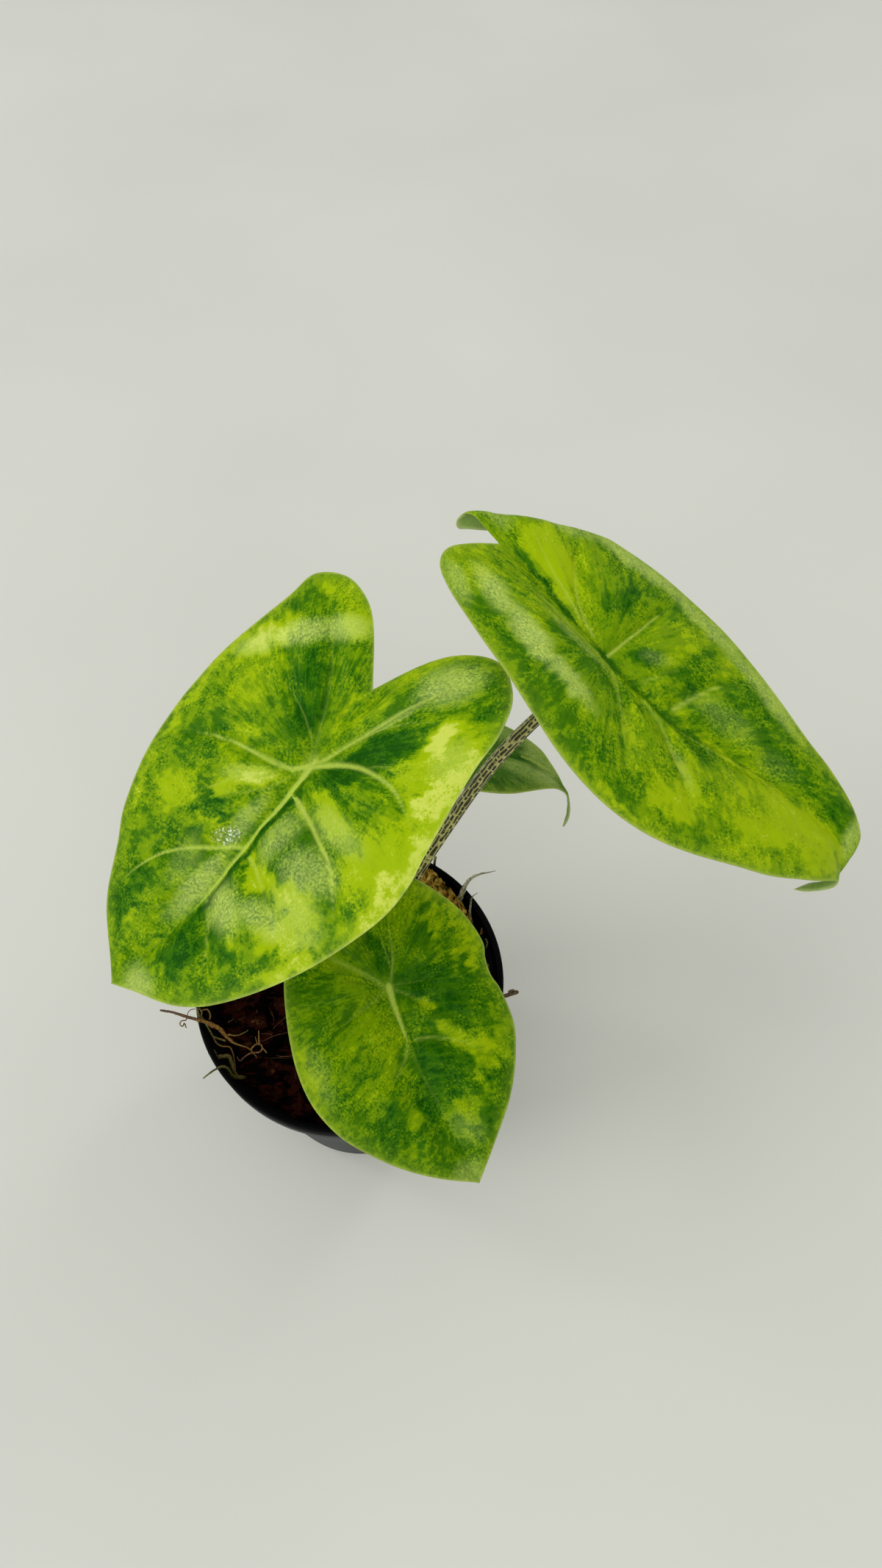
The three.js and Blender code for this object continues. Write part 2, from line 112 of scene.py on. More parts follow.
def fillRamp(ramp, stops):
    ramp.elements[0].position = stops[0][0]
    ramp.elements[0].color = stops[0][1]
    ramp.elements[1].position = stops[-1][0]
    ramp.elements[1].color = stops[-1][1]
    for place, colour in stops[1:-1]:
        ramp.elements.new(place).color = colour


def newMaterial(name, **constants):
    material = bpy.data.materials.new(name)
    material.use_nodes = True
    shader = material.node_tree.nodes["Principled BSDF"]
    for socket, value in constants.items():
        shader.inputs[socket.replace("_", " ")].default_value = value
    return material, shader, Wire(material.node_tree)


def plug(wire, shader, socket):
    wire.tree.links.new(wire.socket, shader.inputs[socket])


def bump(height, shader, strength, distance):
    made = height.node("ShaderNodeBump", None,
                       {"Strength": strength, "Distance": distance * mm, "Height": height})
    plug(made, shader, "Normal")


def placeIn(wire):  # where a point lies, in millimetres
    place = wire.node("ShaderNodeTexCoord", output="Object")
    return place.node("ShaderNodeVectorMath", {"operation": "SCALE"}, {0: place, "Scale": 1 / mm})


def flatPlace(wire):  # where it lies on the flat leaf or along the rod, in millimetres
    place = wire.node("ShaderNodeUVMap", {"uv_map": "flat"})
    return place.node("ShaderNodeVectorMath", {"operation": "SCALE"}, {0: place, "Scale": flatSize})


def painted(wire, name):
    return wire.node("ShaderNodeAttribute", {"attribute_name": name}, output="Fac")


# Meshes

flatSize = 200  # millimetres that the flat map's square stands for
aroundRod = 20  # millimetres that once round a rod takes on that map


def only(piece):  # nothing but this piece is selected and active
    bpy.ops.object.select_all(action="DESELECT")
    piece.select_set(True)
    bpy.context.view_layer.objects.active = piece


def applied(piece, kind, **settings):
    only(piece)
    modifier = piece.modifiers.new(kind.lower(), kind)
    for name, value in settings.items():
        setattr(modifier, name, value)
    bpy.ops.object.modifier_apply(modifier=modifier.name)


def closed(piece, gap=1e-6):  # seams and poles merged, faces turned outwards
    only(piece)
    bpy.ops.object.mode_set(mode="EDIT")
    bpy.ops.mesh.select_all(action="SELECT")
    bpy.ops.mesh.remove_doubles(threshold=gap)
    bpy.ops.mesh.normals_make_consistent(inside=False)
    bpy.ops.object.mode_set(mode="OBJECT")


def smooth(piece, angle=60):
    only(piece)
    bpy.ops.object.shade_smooth_by_angle(angle=math.radians(angle))


def corners(mesh):
    found = np.empty(len(mesh.vertices) * 3)
    mesh.vertices.foreach_get("co", found)
    return found.reshape(-1, 3)


def paint(piece, name, values):
    layer = piece.data.attributes.new(name, "FLOAT", "POINT")
    layer.data.foreach_set("value", np.asarray(values, np.float32))


def mapFlat(piece, x, y):  # millimetres on the flat leaf, kept as a UV map
    layer = piece.data.uv_layers.new(name="flat")
    corner = np.empty(len(piece.data.loops), np.int32)
    piece.data.loops.foreach_get("vertex_index", corner)
    layer.uv.foreach_set("vector", (np.stack([x, y], 1)[corner] / flatSize).astype(np.float32).ravel())


def gridSheet(name, columns, rows):
    bpy.ops.mesh.primitive_grid_add(x_subdivisions=columns, y_subdivisions=rows, size=1)
    sheet = bpy.context.object
    sheet.name = name
    u, v = corners(sheet.data)[:, :2].T + 0.5
    return sheet, u, v


def moveTo(piece, points):  # points in millimetres
    piece.data.vertices.foreach_set("co", (np.asarray(points) * mm).astype(np.float32).ravel())
    piece.data.update()


def finish(piece, slot, *nodes):
    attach(piece, "root")
    if nodes:
        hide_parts(*nodes)


def throughPoints(points, shares):
    # a smooth curve through the points, at shares of its length
    points = np.asarray(points, float)
    before = np.vstack([points[:1], points[:-2]])
    after = np.vstack([points[2:], points[-1:]])
    start, end = points[:-1], points[1:]
    t = np.linspace(0, 1, 40, endpoint=False)[None, :, None]
    a, b, c, d = [part[:, None, :] for part in (before, start, end, after)]
    leave = (c - a) / 2
    arrive = (d - b) / 2
    cubic = 2 * b - 2 * c + leave + arrive
    square = 3 * c - 3 * b - 2 * leave - arrive
    line = cubic * t**3 + square * t**2 + leave * t + b
    line = np.vstack([line.reshape(-1, points.shape[1]), points[-1:]])
    run = np.concatenate([[0], np.cumsum(np.linalg.norm(np.diff(line, axis=0), axis=1))])
    return np.stack([np.interp(np.asarray(shares) * run[-1], run, part) for part in line.T], -1), run[-1]


def tube(name, route, radius, sides, steps):
    # a rod along the route, closed to a point at both ends; radius(share, turn) in millimetres
    rod, u, v = gridSheet(name, sides, steps)
    rings = np.linspace(0, 1, steps + 1)
    centres, length = throughPoints(route, rings)
    tangents = np.gradient(centres, axis=0)
    tangents /= np.linalg.norm(tangents, axis=1)[:, None]
    across = np.cross(tangents[0], (0.3, 0.5, 0.81))  # any way across the rod serves as a start
    normals = []
    for tangent in tangents:
        across = across - tangent * (across @ tangent)
        across /= np.linalg.norm(across)
        normals.append(across)
    normals = np.array(normals)
    sideways = np.cross(tangents, normals)
    ring = np.rint(v * steps).astype(int)
    turn = 2 * np.pi * u
    reach = radius(v, turn) * np.where((ring == 0) | (ring == steps), 0, 1)
    outward = normals[ring] * np.cos(turn)[:, None] + sideways[ring] * np.sin(turn)[:, None]
    mapFlat(rod, u * aroundRod, v * length)
    moveTo(rod, centres[ring] + outward * reach[:, None])
    closed(rod)
    return rod


def joinedAs(name, parts):
    bpy.ops.object.select_all(action="DESELECT")
    for part in parts:
        part.select_set(True)
    bpy.context.view_layer.objects.active = parts[0]
    bpy.ops.object.join()
    bpy.context.object.name = name
    return bpy.context.object


# Leaves: each one is drawn flat, x along the midrib and y across, in millimetres from the hub where
# it joins its stalk, then bent and set with its hub at joint. An arch is where a bend of the midrib
# starts and its degrees a millimetre. fold is how steeply the left and right halves rise from the
# midrib, droop how fast they come down again, and bow bends the leaf sideways. A roll turns what
# lies beyond a place under. puff is how high the tissue swells between the veins, base its tone
# where no patch lies, and splash how far chance marbling moves the tone.
# Patches are x, y, half length, half width, turn in degrees and tone, from 0 for the darkest
# green to 1 for pale yellow. Sheen patches, a pale highlight painted into the colour, end in their
# strength. Veins start with their half width, how pale they are, below 0 for dark ones, which are
# painted shade along grooves and creases, and how deep they lie.

leaves = {
    "left": {
        "joint": (-1.7, 6.3, 160), "heading": 226.5, "dip": 25, "roll": 10,
        "archFront": [(0, 0)], "archBack": [(0, 0.26)], "fold": (10.5, 10), "droop": 0.36,
        "tip": (58, -4.5), "notch": (-19, 0),
        "midline": [(-19, 0), (0, 0), (8, 0.3), (20, 0.1), (34, -0.4), (46, -1.6), (58, -4.5)],
        "sides": [
            [(55.5, 1), (50, 13), (42, 21.5), (28.5, 30), (14, 35.3), (5.5, 36), (-2, 34.5),
             (-18, 31.3), (-26, 30.3), (-33, 27), (-37, 20), (-35, 12.5), (-29.5, 6.3)],
            [(54.5, -8.5), (47, -17.5), (37.5, -24.3), (31, -29.3), (20, -34), (8.5, -35.6),
             (0.5, -35.4), (-7.5, -34.6), (-23, -31.1), (-30.5, -30), (-34, -23), (-32.5, -15),
             (-28, -8.5)],
        ],
        "puff": 1.15, "spokes": 400, "rings": 80,
        "base": 0.42, "splash": 0.15,
        "patches": [
            (-12, -11, 9, 4.4, 35, 0.2), (-7, -7.5, 4, 2.4, 20, 0.1), (-20, -6, 8, 3, 30, 0.36),
            (-9, 12.5, 9, 3.4, -25, 0.1), (-3, 9, 5, 2.6, -60, 0.1), (1, 8, 1.6, 5, 5, 0.15),
            # the narrow dark bands at (14, 2.6) and (28, 2.5) run beside the midrib: painted shade
            (12, 13, 2.2, 5, -10, 0.12), (15, 14, 5, 6, 0, 0.25), (14, 2.6, 10, 1.2, 0, 0.12),
            (28, 2.5, 8, 1.3, 0, 0.12), (43, 5, 7, 4, 20, 0.11), (37, 19, 9, 6, -35, 0.34),
            (19, -11, 1.8, 6, 10, 0.14), (30, -10, 6, 6, 0, 0.32), (43, -13, 7, 3.5, 25, 0.2),
            (8, -22, 8, 5, -15, 0.32), (-32, 25, 5, 4, 30, 0.22), (-20, 12, 7, 4, -25, 0.32),
            (14, 32, 8, 1.8, -12, 0.42), (-24, -26, 5, 3, -30, 0.32), (36, 9, 3, 6, 0, 0.25),
            (3, 29, 10, 5.5, -5, 0.72), (8, 27, 5, 3, 0, 0.78), (-15, 24, 8, 4.6, -15, 0.76),
            (-19, 22, 4, 3, 0, 0.98), (-11, 29.5, 6, 2.6, -15, 0.97), (4, 14, 2.2, 8.5, -12, 0.74),
            (21.5, 9, 2, 7.5, 0, 0.78), (21, 20, 2.4, 7, -8, 0.8), (27, 22, 3, 6, 20, 0.8),
            (21, -20, 4.6, 5, 15, 0.7), (-6, -24, 8, 6, 20, 0.55), (-4, -21, 3, 4, 0, 0.62),
            (9.5, -9, 2, 6.5, 35, 0.9), (14, -12, 3, 3, 0, 0.72), (-14, -27.5, 7, 3.6, -25, 0.88),
            (-27, -12, 3.2, 4, -40, 0.72), (-31, -20, 2.4, 7, 0, 0.58), (9, -16, 6, 3, 20, 0.55),
            (3, -15, 2, 3, 0, 0.6), (-28, 8, 7, 2.2, -30, 0.62), (-14, 4, 6, 1, -25, 0.6),
            (-12, -1.2, 6, 0.8, 0, 0.62), (22, -8, 2, 5, 20, 0.62), (46, -9, 3.5, 2.2, 25, 0.55),
            (31, 26, 6, 1.6, -35, 0.7), (4, 34.5, 16, 2.6, -3, 0.9), (-16, 30.8, 9, 2.6, 7, 0.94),
            (28, 29.5, 9, 1.8, -35, 0.84), (0, -33.5, 20, 1.4, 0, 0.66), (25, -29, 8, 1.4, 27, 0.62),
            (33, 14, 2, 4, 10, 0.5), (48, 4, 2, 3, 0, 0.45),
        ],
        "frost": [
            (-25, -14, 5, 2.6, -60, 0.8), (-19, -21, 6, 2.4, -50, 0.9), (-12, -28, 5, 2.4, -50, 0.7),
            (-28, 15, 6, 4, -40, 0.8), (-18, 11, 9, 1, -27, 0.6), (15, 18, 4, 6, 10, 0.7),
            (31, 7, 3.6, 5.5, -10, 0.9), (27, 16, 2.4, 7, 10, 0.7), (32, -2.6, 7, 2.2, -3, 0.85),
            (14, 7, 5, 3, 0, 0.6), (6, 17, 2.6, 7, 0, 0.5), (22, 21, 3.5, 6, 0, 0.5),
            (9, -9, 1.6, 5, 35, 0.5), (53.5, 1.5, 3, 4.5, 0, 0.9), (-17, 27, 4, 3, 0, 0.4),
            (17, -3, 6, 1.6, 0, 0.6), (24, 26, 4, 2, -30, 0.4), (30, -8, 5, 3, 25, 0.3),
        ],
        "veins": [
            (0.55, 1.0, 0.4, [(-1, 0.4), (8, 0.7), (20, 0.4), (32, 0.1), (42, -0.7)]),
            (0.3, -0.4, 0.3, [(34, 0), (40, -0.5), (45, -1), (58, -4.4)]),
            (1.3, 0.5, 0, [(-1, 0.2), (2, 0.5), (5, 0.7)]),
            (0.7, -0.7, 0, [(4, 2.2), (12, 2.2), (24, 2), (34, 1.7), (44, 1)]),
            (0.5, -0.35, 0, [(4, -0.9), (14, -0.7), (24, -0.9)]),
            (0.4, 0.8, 0.3,
             [(0.5, -0.3), (3, -2.6), (4.2, -7), (5.2, -12), (6.4, -17), (8.4, -23), (11.5, -28.5)]),
            (0.35, 0.8, 0.3,
             [(21, -0.8), (24, -4.6), (27.6, -9.4), (32.6, -13.8), (39, -16.6), (45, -17)]),
            (0.5, 0.8, 0.35, [(0, 0.8), (-3, 5), (-5.4, 10), (-6.6, 16), (-6.4, 22), (-3, 30)]),
            (0.5, 0.85, 0.3, [(6.6, 2), (7.6, 7), (9, 13), (11, 19), (14.4, 24.4), (20, 30)]),
            (0.3, 0.65, 0.25, [(21, 2), (22, 7), (24, 13), (27, 19), (30, 23)]),
            (0.3, 0.45, 0.2, [(33, 1), (36, 6), (40, 11), (44, 14)]),
            (0.5, 0.6, 0.35, [(0, 0.8), (-6, 4), (-13, 7.6), (-20, 11), (-26, 15), (-33, 20)]),
            (0.3, 0.5, 0.15, [(-2, 1.5), (-9, 5.6), (-14, 10), (-19, 16), (-22, 22)]),
            (0.5, 0.2, 0.3, [(0, -0.2), (-8, -4), (-17, -10), (-25, -18), (-30, -25)]),
            (0.2, 0.3, 0.15, [(-4, -3), (-7, -8), (-9, -14), (-9.6, -20)]),
            (0.3, 0.4, 0.1, [(6, -4), (10, -9.5), (15, -13), (20, -18)]),
            (0.25, 0.35, 0.1, [(3, -1), (9, -4), (14, -9), (17, -15)]),
            (0.25, 0.35, 0.15, [(33, -1), (38, -5), (44, -9)]),
            (0.25, 0.3, 0.1, [(-6, 12), (-9, 17), (-10, 24)]),
            (0.25, 0.4, 0, [(9, 13), (7, 19), (7, 26)]),
        ],
        "wet": (21, -4.4, 3, 1.6, -46),
    },
    "right": {
        "joint": (54.7, 21.3, 175), "heading": -35, "dip": 25, "roll": -8,
        "archFront": [(0, 0), (54, 2.2)], "archBack": [(0, 0.34)], "fold": (10.5, 8),
        "droop": 0.69, "droopBack": 0.0115, "bow": 0.0008, "bowBack": 0.004,
        "rolls": [
            {"at": (63, 0), "facing": 3, "radius": 1.9, "turn": 165},
            {"at": (-25.2, 11.5), "facing": 134, "radius": 3, "turn": 135},
        ],
        "tip": (73.6, -7.8), "notch": (-29.2, 1.8),
        "midline": [
            (-29.2, 1.8), (-20, 2.8), (-10, 1.5), (0, 0), (9, -0.8), (18, -1), (27, 0.6), (36, 2.8),
            (45, 4.4), (54, 4.9), (60, 3), (65.2, -1.8), (70, -5.6), (73.6, -7.8),
        ],
        "sides": [
            [(70.5, -5.2), (67.4, -2.9), (65.6, -0.4), (65.2, 2.6), (64.8, 5.8), (62.8, 8.9),
             (58.6, 12), (50.5, 15.6), (42.8, 17.7), (33.9, 20.6), (25, 23.3), (16, 25.7), (6.7, 26.7),
             (-1, 26.8), (-9.3, 25.2), (-18, 22.4), (-26.5, 18.4), (-31.5, 14.9), (-35.9, 10.8),
             (-39.6, 7.5), (-41.8, 5), (-41.2, 3.3), (-38.4, 2.75), (-35.5, 2.35)],
            [(70.5, -6.8), (67, -4.6), (64.8, -4.1), (62.8, -4.9), (57, -11), (49.6, -16.8),
             (42.1, -20.5), (33.9, -24.4), (26.4, -26.9), (19, -27.8), (12, -27.3), (4.3, -25.6),
             (-4.5, -22.5), (-13.1, -19.6), (-23.3, -17.1), (-30.4, -15.3), (-34.7, -13), (-35.7, -9.2),
             (-33.4, -4.4)],
        ],
        "puff": 1, "spokes": 420, "rings": 80,
        "base": 0.48, "splash": 0.12,
        "patches": [
            (-4, 12.5, 3, 5, -20, 0.22), (-3, 13, 1.4, 2, 0, 0.15), (6.5, 5, 3.5, 2.2, 30, 0.14),
            # the thin dark lines at (1.5, -0.3) and (-18, 3) lie in the midrib's crease: painted shade
            (17, 9, 2.2, 5.5, -35, 0.24), (1.5, -0.3, 4, 1, 0, 0.17), (-18, 3, 12, 0.9, -12, 0.19),
            (-14, -15.5, 11, 2.6, -15, 0.32), (-4, -18.5, 8, 4, -25, 0.3), (6, -21, 7, 3.5, -15, 0.34),
            (8, -9, 3, 6, 30, 0.36), (31, 13, 9, 4.5, -8, 0.3), (41, 9, 8, 3, -5, 0.29),
            (54, 9, 7, 3.5, -30, 0.27), (14, 16, 4, 6, 0, 0.35), (3, 20, 9, 3, -3, 0.38),
            (18, -22, 8, 4, -5, 0.36), (33, -21, 8, 3, 20, 0.4), (-26, -13, 3, 3, 0, 0.32),
            (26, -3, 8, 2.6, -15, 0.32), (12, -1, 8, 1.2, 0, 0.3), (-3, -6, 10, 2.6, -5, 0.32),
            (24, 6, 3, 6, -40, 0.32), (47, -9, 3, 4, 20, 0.45), (-11, 18, 6, 3, -20, 0.4),
            (-19, 8, 10, 3.6, -18, 0.74), (-24, 9.5, 6, 4, -15, 0.76), (-9, 3.5, 6, 1.5, -40, 0.6),
            (-13, 13, 3.5, 3.5, 0, 0.56), (11, 13, 2, 7, -8, 0.62), (12, 19, 3, 3, 0, 0.55),
            (26, -17, 4, 3.6, 20, 0.76), (27, -12, 2, 6, 35, 0.7), (23, -20, 3, 2.5, 0, 0.7),
            (13, -12, 2, 6, 30, 0.6), (50, -2, 12, 5, -5, 0.78), (44, -8, 9, 5, 25, 0.74),
            (55, 1, 6, 3.6, 0, 0.78), (36, -6, 6, 4, 0, 0.6), (34, 1.6, 8, 1, 8, 0.66),
            (56, -6, 5, 4, 40, 0.7), (-28, -8, 4, 4, -30, 0.62), (-31, -4, 3, 4, -30, 0.55),
            (18, -26, 12, 1.1, 0, 0.62), (41, -17, 7, 2.2, 24, 0.6), (-15, -7, 5, 2, -10, 0.55),
            (45, 13, 7, 1.4, -15, 0.45), (20, 13, 1.2, 5, -30, 0.55), (-30, 13, 5, 3.5, 40, 0.5),
        ],
        "frost": [
            (-23, -9, 5.5, 2.4, -10, 0.9), (-13, -10.8, 7, 2.2, -12, 1), (-3, -12.4, 6, 1.8, -10, 0.8),
            (-30, -13, 4, 1.8, -20, 0.6), (26, 7, 7, 2.6, 5, 0.2), (40, 7, 5, 2.2, 10, 0.12),
            (-6, 23.5, 12, 2.4, 8, 0.8), (12, 23.5, 12, 2.4, -8, 0.7), (30, 19.5, 11, 2.2, -15, 0.7),
            (61, 8, 1.8, 6, 10, 0.7), (-22, 17, 8, 2, 25, 0.5), (-6, -3.4, 8, 1.2, 0, 0.35),
            (24, -10, 5, 1, -40, 0.3), (8, 6.5, 3, 1.5, 30, 0.25), (-36, 7, 5, 3, 0, 0.5),
        ],
        "veins": [
            (0.35, -0.5, 0.3, [(3, -0.2), (-6, 0.8), (-14, 2.2), (-22, 2.9), (-29, 2)]),
            (0.7, 0.35, 0.1, [(2, -1.6), (-8, -1.2), (-16, -1.5), (-24, -3.5)]),
            (0.5, -0.5, 0.3,
             [(0, -0.4), (9, -1), (18, -1.4), (25, 0), (34, 2.2), (44, 4.2), (54, 4.9)]),
            (0.35, 0.4, 0.05, [(16, -2), (25, -0.7), (34, 1.4), (44, 3.4), (53, 4)]),
            (0.3, 0.65, 0.25, [(0.6, 0.4), (1.6, 6), (2.6, 11), (3.6, 16), (5.4, 21)]),
            (0.4, 0.6, 0.25, [(17, 1.5), (18.6, 6), (20.8, 11), (23.6, 16)]),
            (0.3, 0.35, 0.15, [(9, 1), (11, 5), (14, 9.5)]),
            (0.35, 0.45, 0.2, [(-4, 1.5), (-9, 4), (-13.5, 8.5), (-17, 14)]),
            (0.3, 0.4, 0.1, [(-8, 2.4), (-18, 6), (-28, 10)]),
            (0.45, 0.35, 0.2, [(3, -1.8), (7, -6.5), (11, -12), (14, -18)]),
            (0.45, 0.35, 0.2, [(11, -2.2), (17, -4.6), (22, -9), (28, -15)]),
            (0.35, 0.25, 0.15, [(27, -1), (34, -5), (41, -11)]),
            (0.3, 0.3, 0.1, [(38, 2.4), (46, 0), (54, -5)]),
        ],
    },
    "front": {
        "joint": (11.7, -17, 105), "heading": -64, "dip": 15, "roll": -7,
        "archFront": [(0, 0.16)], "archBack": [(0, 0.31)], "fold": (6, 7), "droop": 0.48,
        "tip": (46.5, 1.5), "notch": (-14, 0),
        "midline": [
            (-14, 0), (0, 0), (5, -0.5), (14, -1.1), (21, -1.2), (28, -0.9), (38, 0.5), (46.5, 1.5),
        ],
        "sides": [
            [(44, 4.2), (38.5, 10), (33, 15.5), (26.3, 20.2), (19, 23.5), (11, 24), (7, 23.3),
             (3, 23.8), (-1, 25), (-8.5, 23.8), (-15.5, 20.4), (-21.5, 16), (-26, 10), (-21.5, 4)],
            [(42, -6.2), (37, -12.7), (31.3, -18.2), (25, -22.8), (17.3, -25.6), (9.5, -26),
             (1.5, -24.7), (-6.2, -22.5), (-12, -20.2), (-18, -17.5), (-24, -13), (-26, -8.5),
             (-21.5, -4)],
        ],
        "puff": 0.8, "spokes": 320, "rings": 64,
        "base": 0.38, "splash": 0.11,
        "patches": [
            (2, 8, 4, 6.5, -20, 0.16), (8, 13, 6, 6.5, 30, 0.19), (20, 3, 8, 4.4, -5, 0.16),
            (27, -3, 8, 2.6, -30, 0.17), (-7, 1.4, 6, 1.7, 5, 0.15), (29, -12, 4, 4.6, 20, 0.19),
            (2, -12, 4, 3, -15, 0.34), (-5, -14, 4, 3, 0, 0.3), (36, 6, 4, 5, 20, 0.22),
            (22, 8, 5, 3.5, 30, 0.22), (-9, 13, 5, 2.2, -35, 0.22), (4, 4, 3, 2, 40, 0.2),
            (6, -18, 6, 2.4, 0, 0.34), (28, 14, 5, 4, -30, 0.25), (38, -3, 3.5, 5, 0, 0.3),
            (5, 18, 4, 3, 0, 0.25), (-10, -18, 6, 2, -20, 0.25), (19, -16, 3, 4, 0, 0.32),
            (20, 13.5, 5, 2.3, 55, 0.7), (16, 9.5, 3.4, 1.8, 45, 0.66), (23, 14, 2.4, 3, 60, 0.6),
            (-14, 9, 5, 4, 15, 0.5), (-9, 15.5, 3, 2.6, 30, 0.6), (-17, 16, 5, 3, 30, 0.56),
            (0, 20.5, 5, 1.8, 0, 0.66), (-7, 22, 6, 1.6, 12, 0.66), (-7, 12, 3, 2.4, 20, 0.22),
            (7, 6, 1.2, 2.6, -40, 0.6), (10, -6.5, 8, 4, -5, 0.52), (29, -7, 3, 1.8, -20, 0.58),
            (30.5, 5.5, 2, 3.4, -50, 0.56), (12, -18, 4, 3, 0, 0.48), (12, -24, 10, 1.6, 0, 0.62),
            (20, -12, 2.4, 4, -20, 0.5), (8, -13, 3, 3, 0, 0.5), (-3, -8, 5, 3, 35, 0.5),
            (25, 10, 2.6, 1.2, 20, 0.55), (36, 3, 4, 1.2, 20, 0.45), (-8, -9, 6, 2, 40, 0.5),
            (22, 20, 5, 1.8, -25, 0.5), (-20, -8, 5, 4, 0, 0.4), (18, -3, 3, 1.4, 0, 0.35),
        ],
        "frost": [
            (44, 0, 3, 3.5, 0, 0.5), (35, 4, 4, 2.5, 30, 0.25), (12, -22, 6, 2, 0, 0.2),
        ],
        "veins": [
            (0.55, 0.95, 0.3, [(0, 0.3), (5, -0.4), (11, -0.8), (15, -0.9)]),
            (0.35, 0.2, 0.25, [(15, -0.9), (21, -0.9), (29, 0), (38, 1.2), (46, 1.5)]),
            (0.3, -0.6, 0.1, [(3, 0.6), (9, 0.3), (15, 0), (24, -0.5)]),
            (0.35, 0.35, 0.2, [(13, -1), (16, -3), (18.4, -6), (19.6, -9)]),
            (0.7, 0.35, 0.2, [(0, -0.4), (-4, -3.4), (-9, -8), (-14, -12)]),
            (0.5, 0.25, 0.2, [(0.5, -1), (2, -5), (3, -10), (5, -15)]),
            (0.3, 0.35, 0.2, [(0.3, 0.5), (3, 3), (6, 6.2), (8, 10)]),
            (0.25, 0.2, 0.2, [(0, 1), (1.4, 6), (2.4, 12)]),
            (0.35, 0.4, 0.2, [(13, 0), (14.4, 5), (18, 10.5), (23, 15)]),
            (0.4, 0.35, 0.2, [(0, 0.6), (-4, 3), (-9, 5), (-15, 6.4)]),
            (0.25, 0.3, 0.1, [(-4, 2.4), (-9, 3), (-14, 3.4)]),
        ],
    },
    "back": {
        "joint": (32.4, 51.3, 98), "heading": 8, "dip": 20, "roll": -9,
        "archFront": [(0, 0.8), (26.25, 8.5), (30.25, 2.6)], "archBack": [(0, 0.4)],
        "fold": (6, 7.5), "droop": 0.74,
        "tip": (43, -6.4), "notch": (-9.5, 0),
        "midline": [
            (-9.5, 0), (0, 0), (8, 0.7), (14, 1.8), (18.8, 1.6), (22.6, 0), (27, -4.5), (32, -6.3),
            (43, -6.4),
        ],
        "sides": [
            [(38, -5.6), (31, -5.5), (28.5, -4.4), (27.4, -1.6), (25, 3.7), (23, 7), (18.5, 9.8),
             (12.5, 12.2), (6, 13.4), (-1, 13.4), (-9, 12.4), (-15, 10), (-16.5, 6.5), (-13, 2.6)],
            [(38, -7.2), (31, -7.1), (27, -6.9), (23.9, -7.4), (18.7, -9.5), (13.1, -11.9),
             (8.2, -13.7), (3.7, -14.5), (-1.8, -14.4), (-9, -13.2), (-15, -11), (-16.5, -7),
             (-13, -2.8)],
        ],
        "puff": 0.5, "spokes": 260, "rings": 52,
        "base": 0.3, "splash": 0.08,
        "patches": [
            (15, 3, 3.5, 2.4, -20, 0.13), (10, 3, 4, 3, 0, 0.17), (4, -10.5, 4, 2.2, 10, 0.15),
            (8, -8, 5, 2, -10, 0.22), (0, 6, 6, 4, 0, 0.25), (3, -13.5, 8, 1, 4, 0.4),
            (14, -3, 5, 2.6, 0, 0.34), (22, -2, 3, 4, 0, 0.4), (20, 6, 4, 3, -40, 0.32),
            (-8, -6, 5, 4, 0, 0.35), (-8, 7, 5, 3, 0, 0.32), (36, -6.4, 8, 1.5, 0, 0.42),
        ],
        "frost": [
            (20, 5, 5, 4, -40, 0.5), (20, -5, 6, 3, 20, 0.5), (12, -4, 6, 2.4, 0, 0.4),
            (25, 1, 2.6, 6, -25, 0.5), (7, 9, 8, 3, -8, 0.4),
        ],
        "veins": [
            # the dark lines are painted shade in the grooves, and the pale lines without depth beside them
            # are painted highlights on the grooves' edges
            (0.3, -0.9, 0.4, [(8, 0.8), (13.9, 1), (18, 0.7), (21, 0), (24, -1.8), (26.5, -4)]),
            (0.35, 0.5, 0, [(15, 1.8), (19, 1.6), (22, 0.8), (25.2, -1.2)]),
            (0.25, -0.6, 0.2, [(11, -6), (13, -7.4), (15.4, -8.8)]),
            (0.25, 0.4, 0, [(11, -6.6), (13, -8), (15.4, -9.4)]),
            (0.3, -0.5, 0.2, [(18.6, 0), (21.5, -2.4), (25, -4.2)]),
            (0.35, 0.4, 0.2, [(0, 0), (4, 0.2), (8, 0.6)]),
        ],
    },
}
bladeLook = {
    "above": 0.3, "below": 0.25,  # tissue over and under the middle of the blade
    "valley": 0.8,  # how rounded the fold at the midrib is
    "front": 0.23,  # share of the spokes, from the tip on, that start on the midrib ahead of the hub
    "crowding": 1.5,  # rows lie closer towards the margin
    "swell": 1.4, "swellReach": 4,  # the tissue's rise between veins, and how far from a vein it is full
    "broad": 0.4, "fine": 0.14, "pleats": 0.45,  # heights of the ripples
    "thinEdge": 0.45,  # share of the thickness that is left at the margin
    "margin": 0.45, "nearMargin": 2.5,  # widths of the pale rim and of the paler band inside it
    "patchEdge": 0.4, "paintedSheenEdge": 0.6, "wetEdge": 0.3,  # how softly they end, as shares of their size
    "streaks": (3.2, 2), "wander": (1.3, 0.5),  # how far patches are moved along the rays and across
}


def arcRun(length, angle, bend):
    bend = np.where(np.abs(bend) < 1e-7, 1e-7, bend)
    end = angle - bend * length
    return (np.sin(angle) - np.sin(end)) / bend, (np.cos(end) - np.cos(angle)) / bend


def midribAt(leaf, x):
    run, rise, slope = np.zeros((3, len(x)))
    for back, arches in ((False, leaf["archFront"]), (True, leaf["archBack"])):
        side = (x < 0) if back else (x >= 0)
        reach = np.abs(x[side])
        part = np.zeros((3, len(reach)))
        for index, (start, arch) in enumerate(arches):
            end = arches[index + 1][0] if index + 1 < len(arches) else np.inf
            length = np.clip(np.minimum(reach, end) - start, 0, None)
            bend = np.radians(arch)
            out, up = arcRun(length, part[2], bend)
            part += (out, up, -bend * length)
        way = -1 if back else 1
        run[side], rise[side], slope[side] = way * part[0], part[1], way * part[2]
    return run, rise, slope


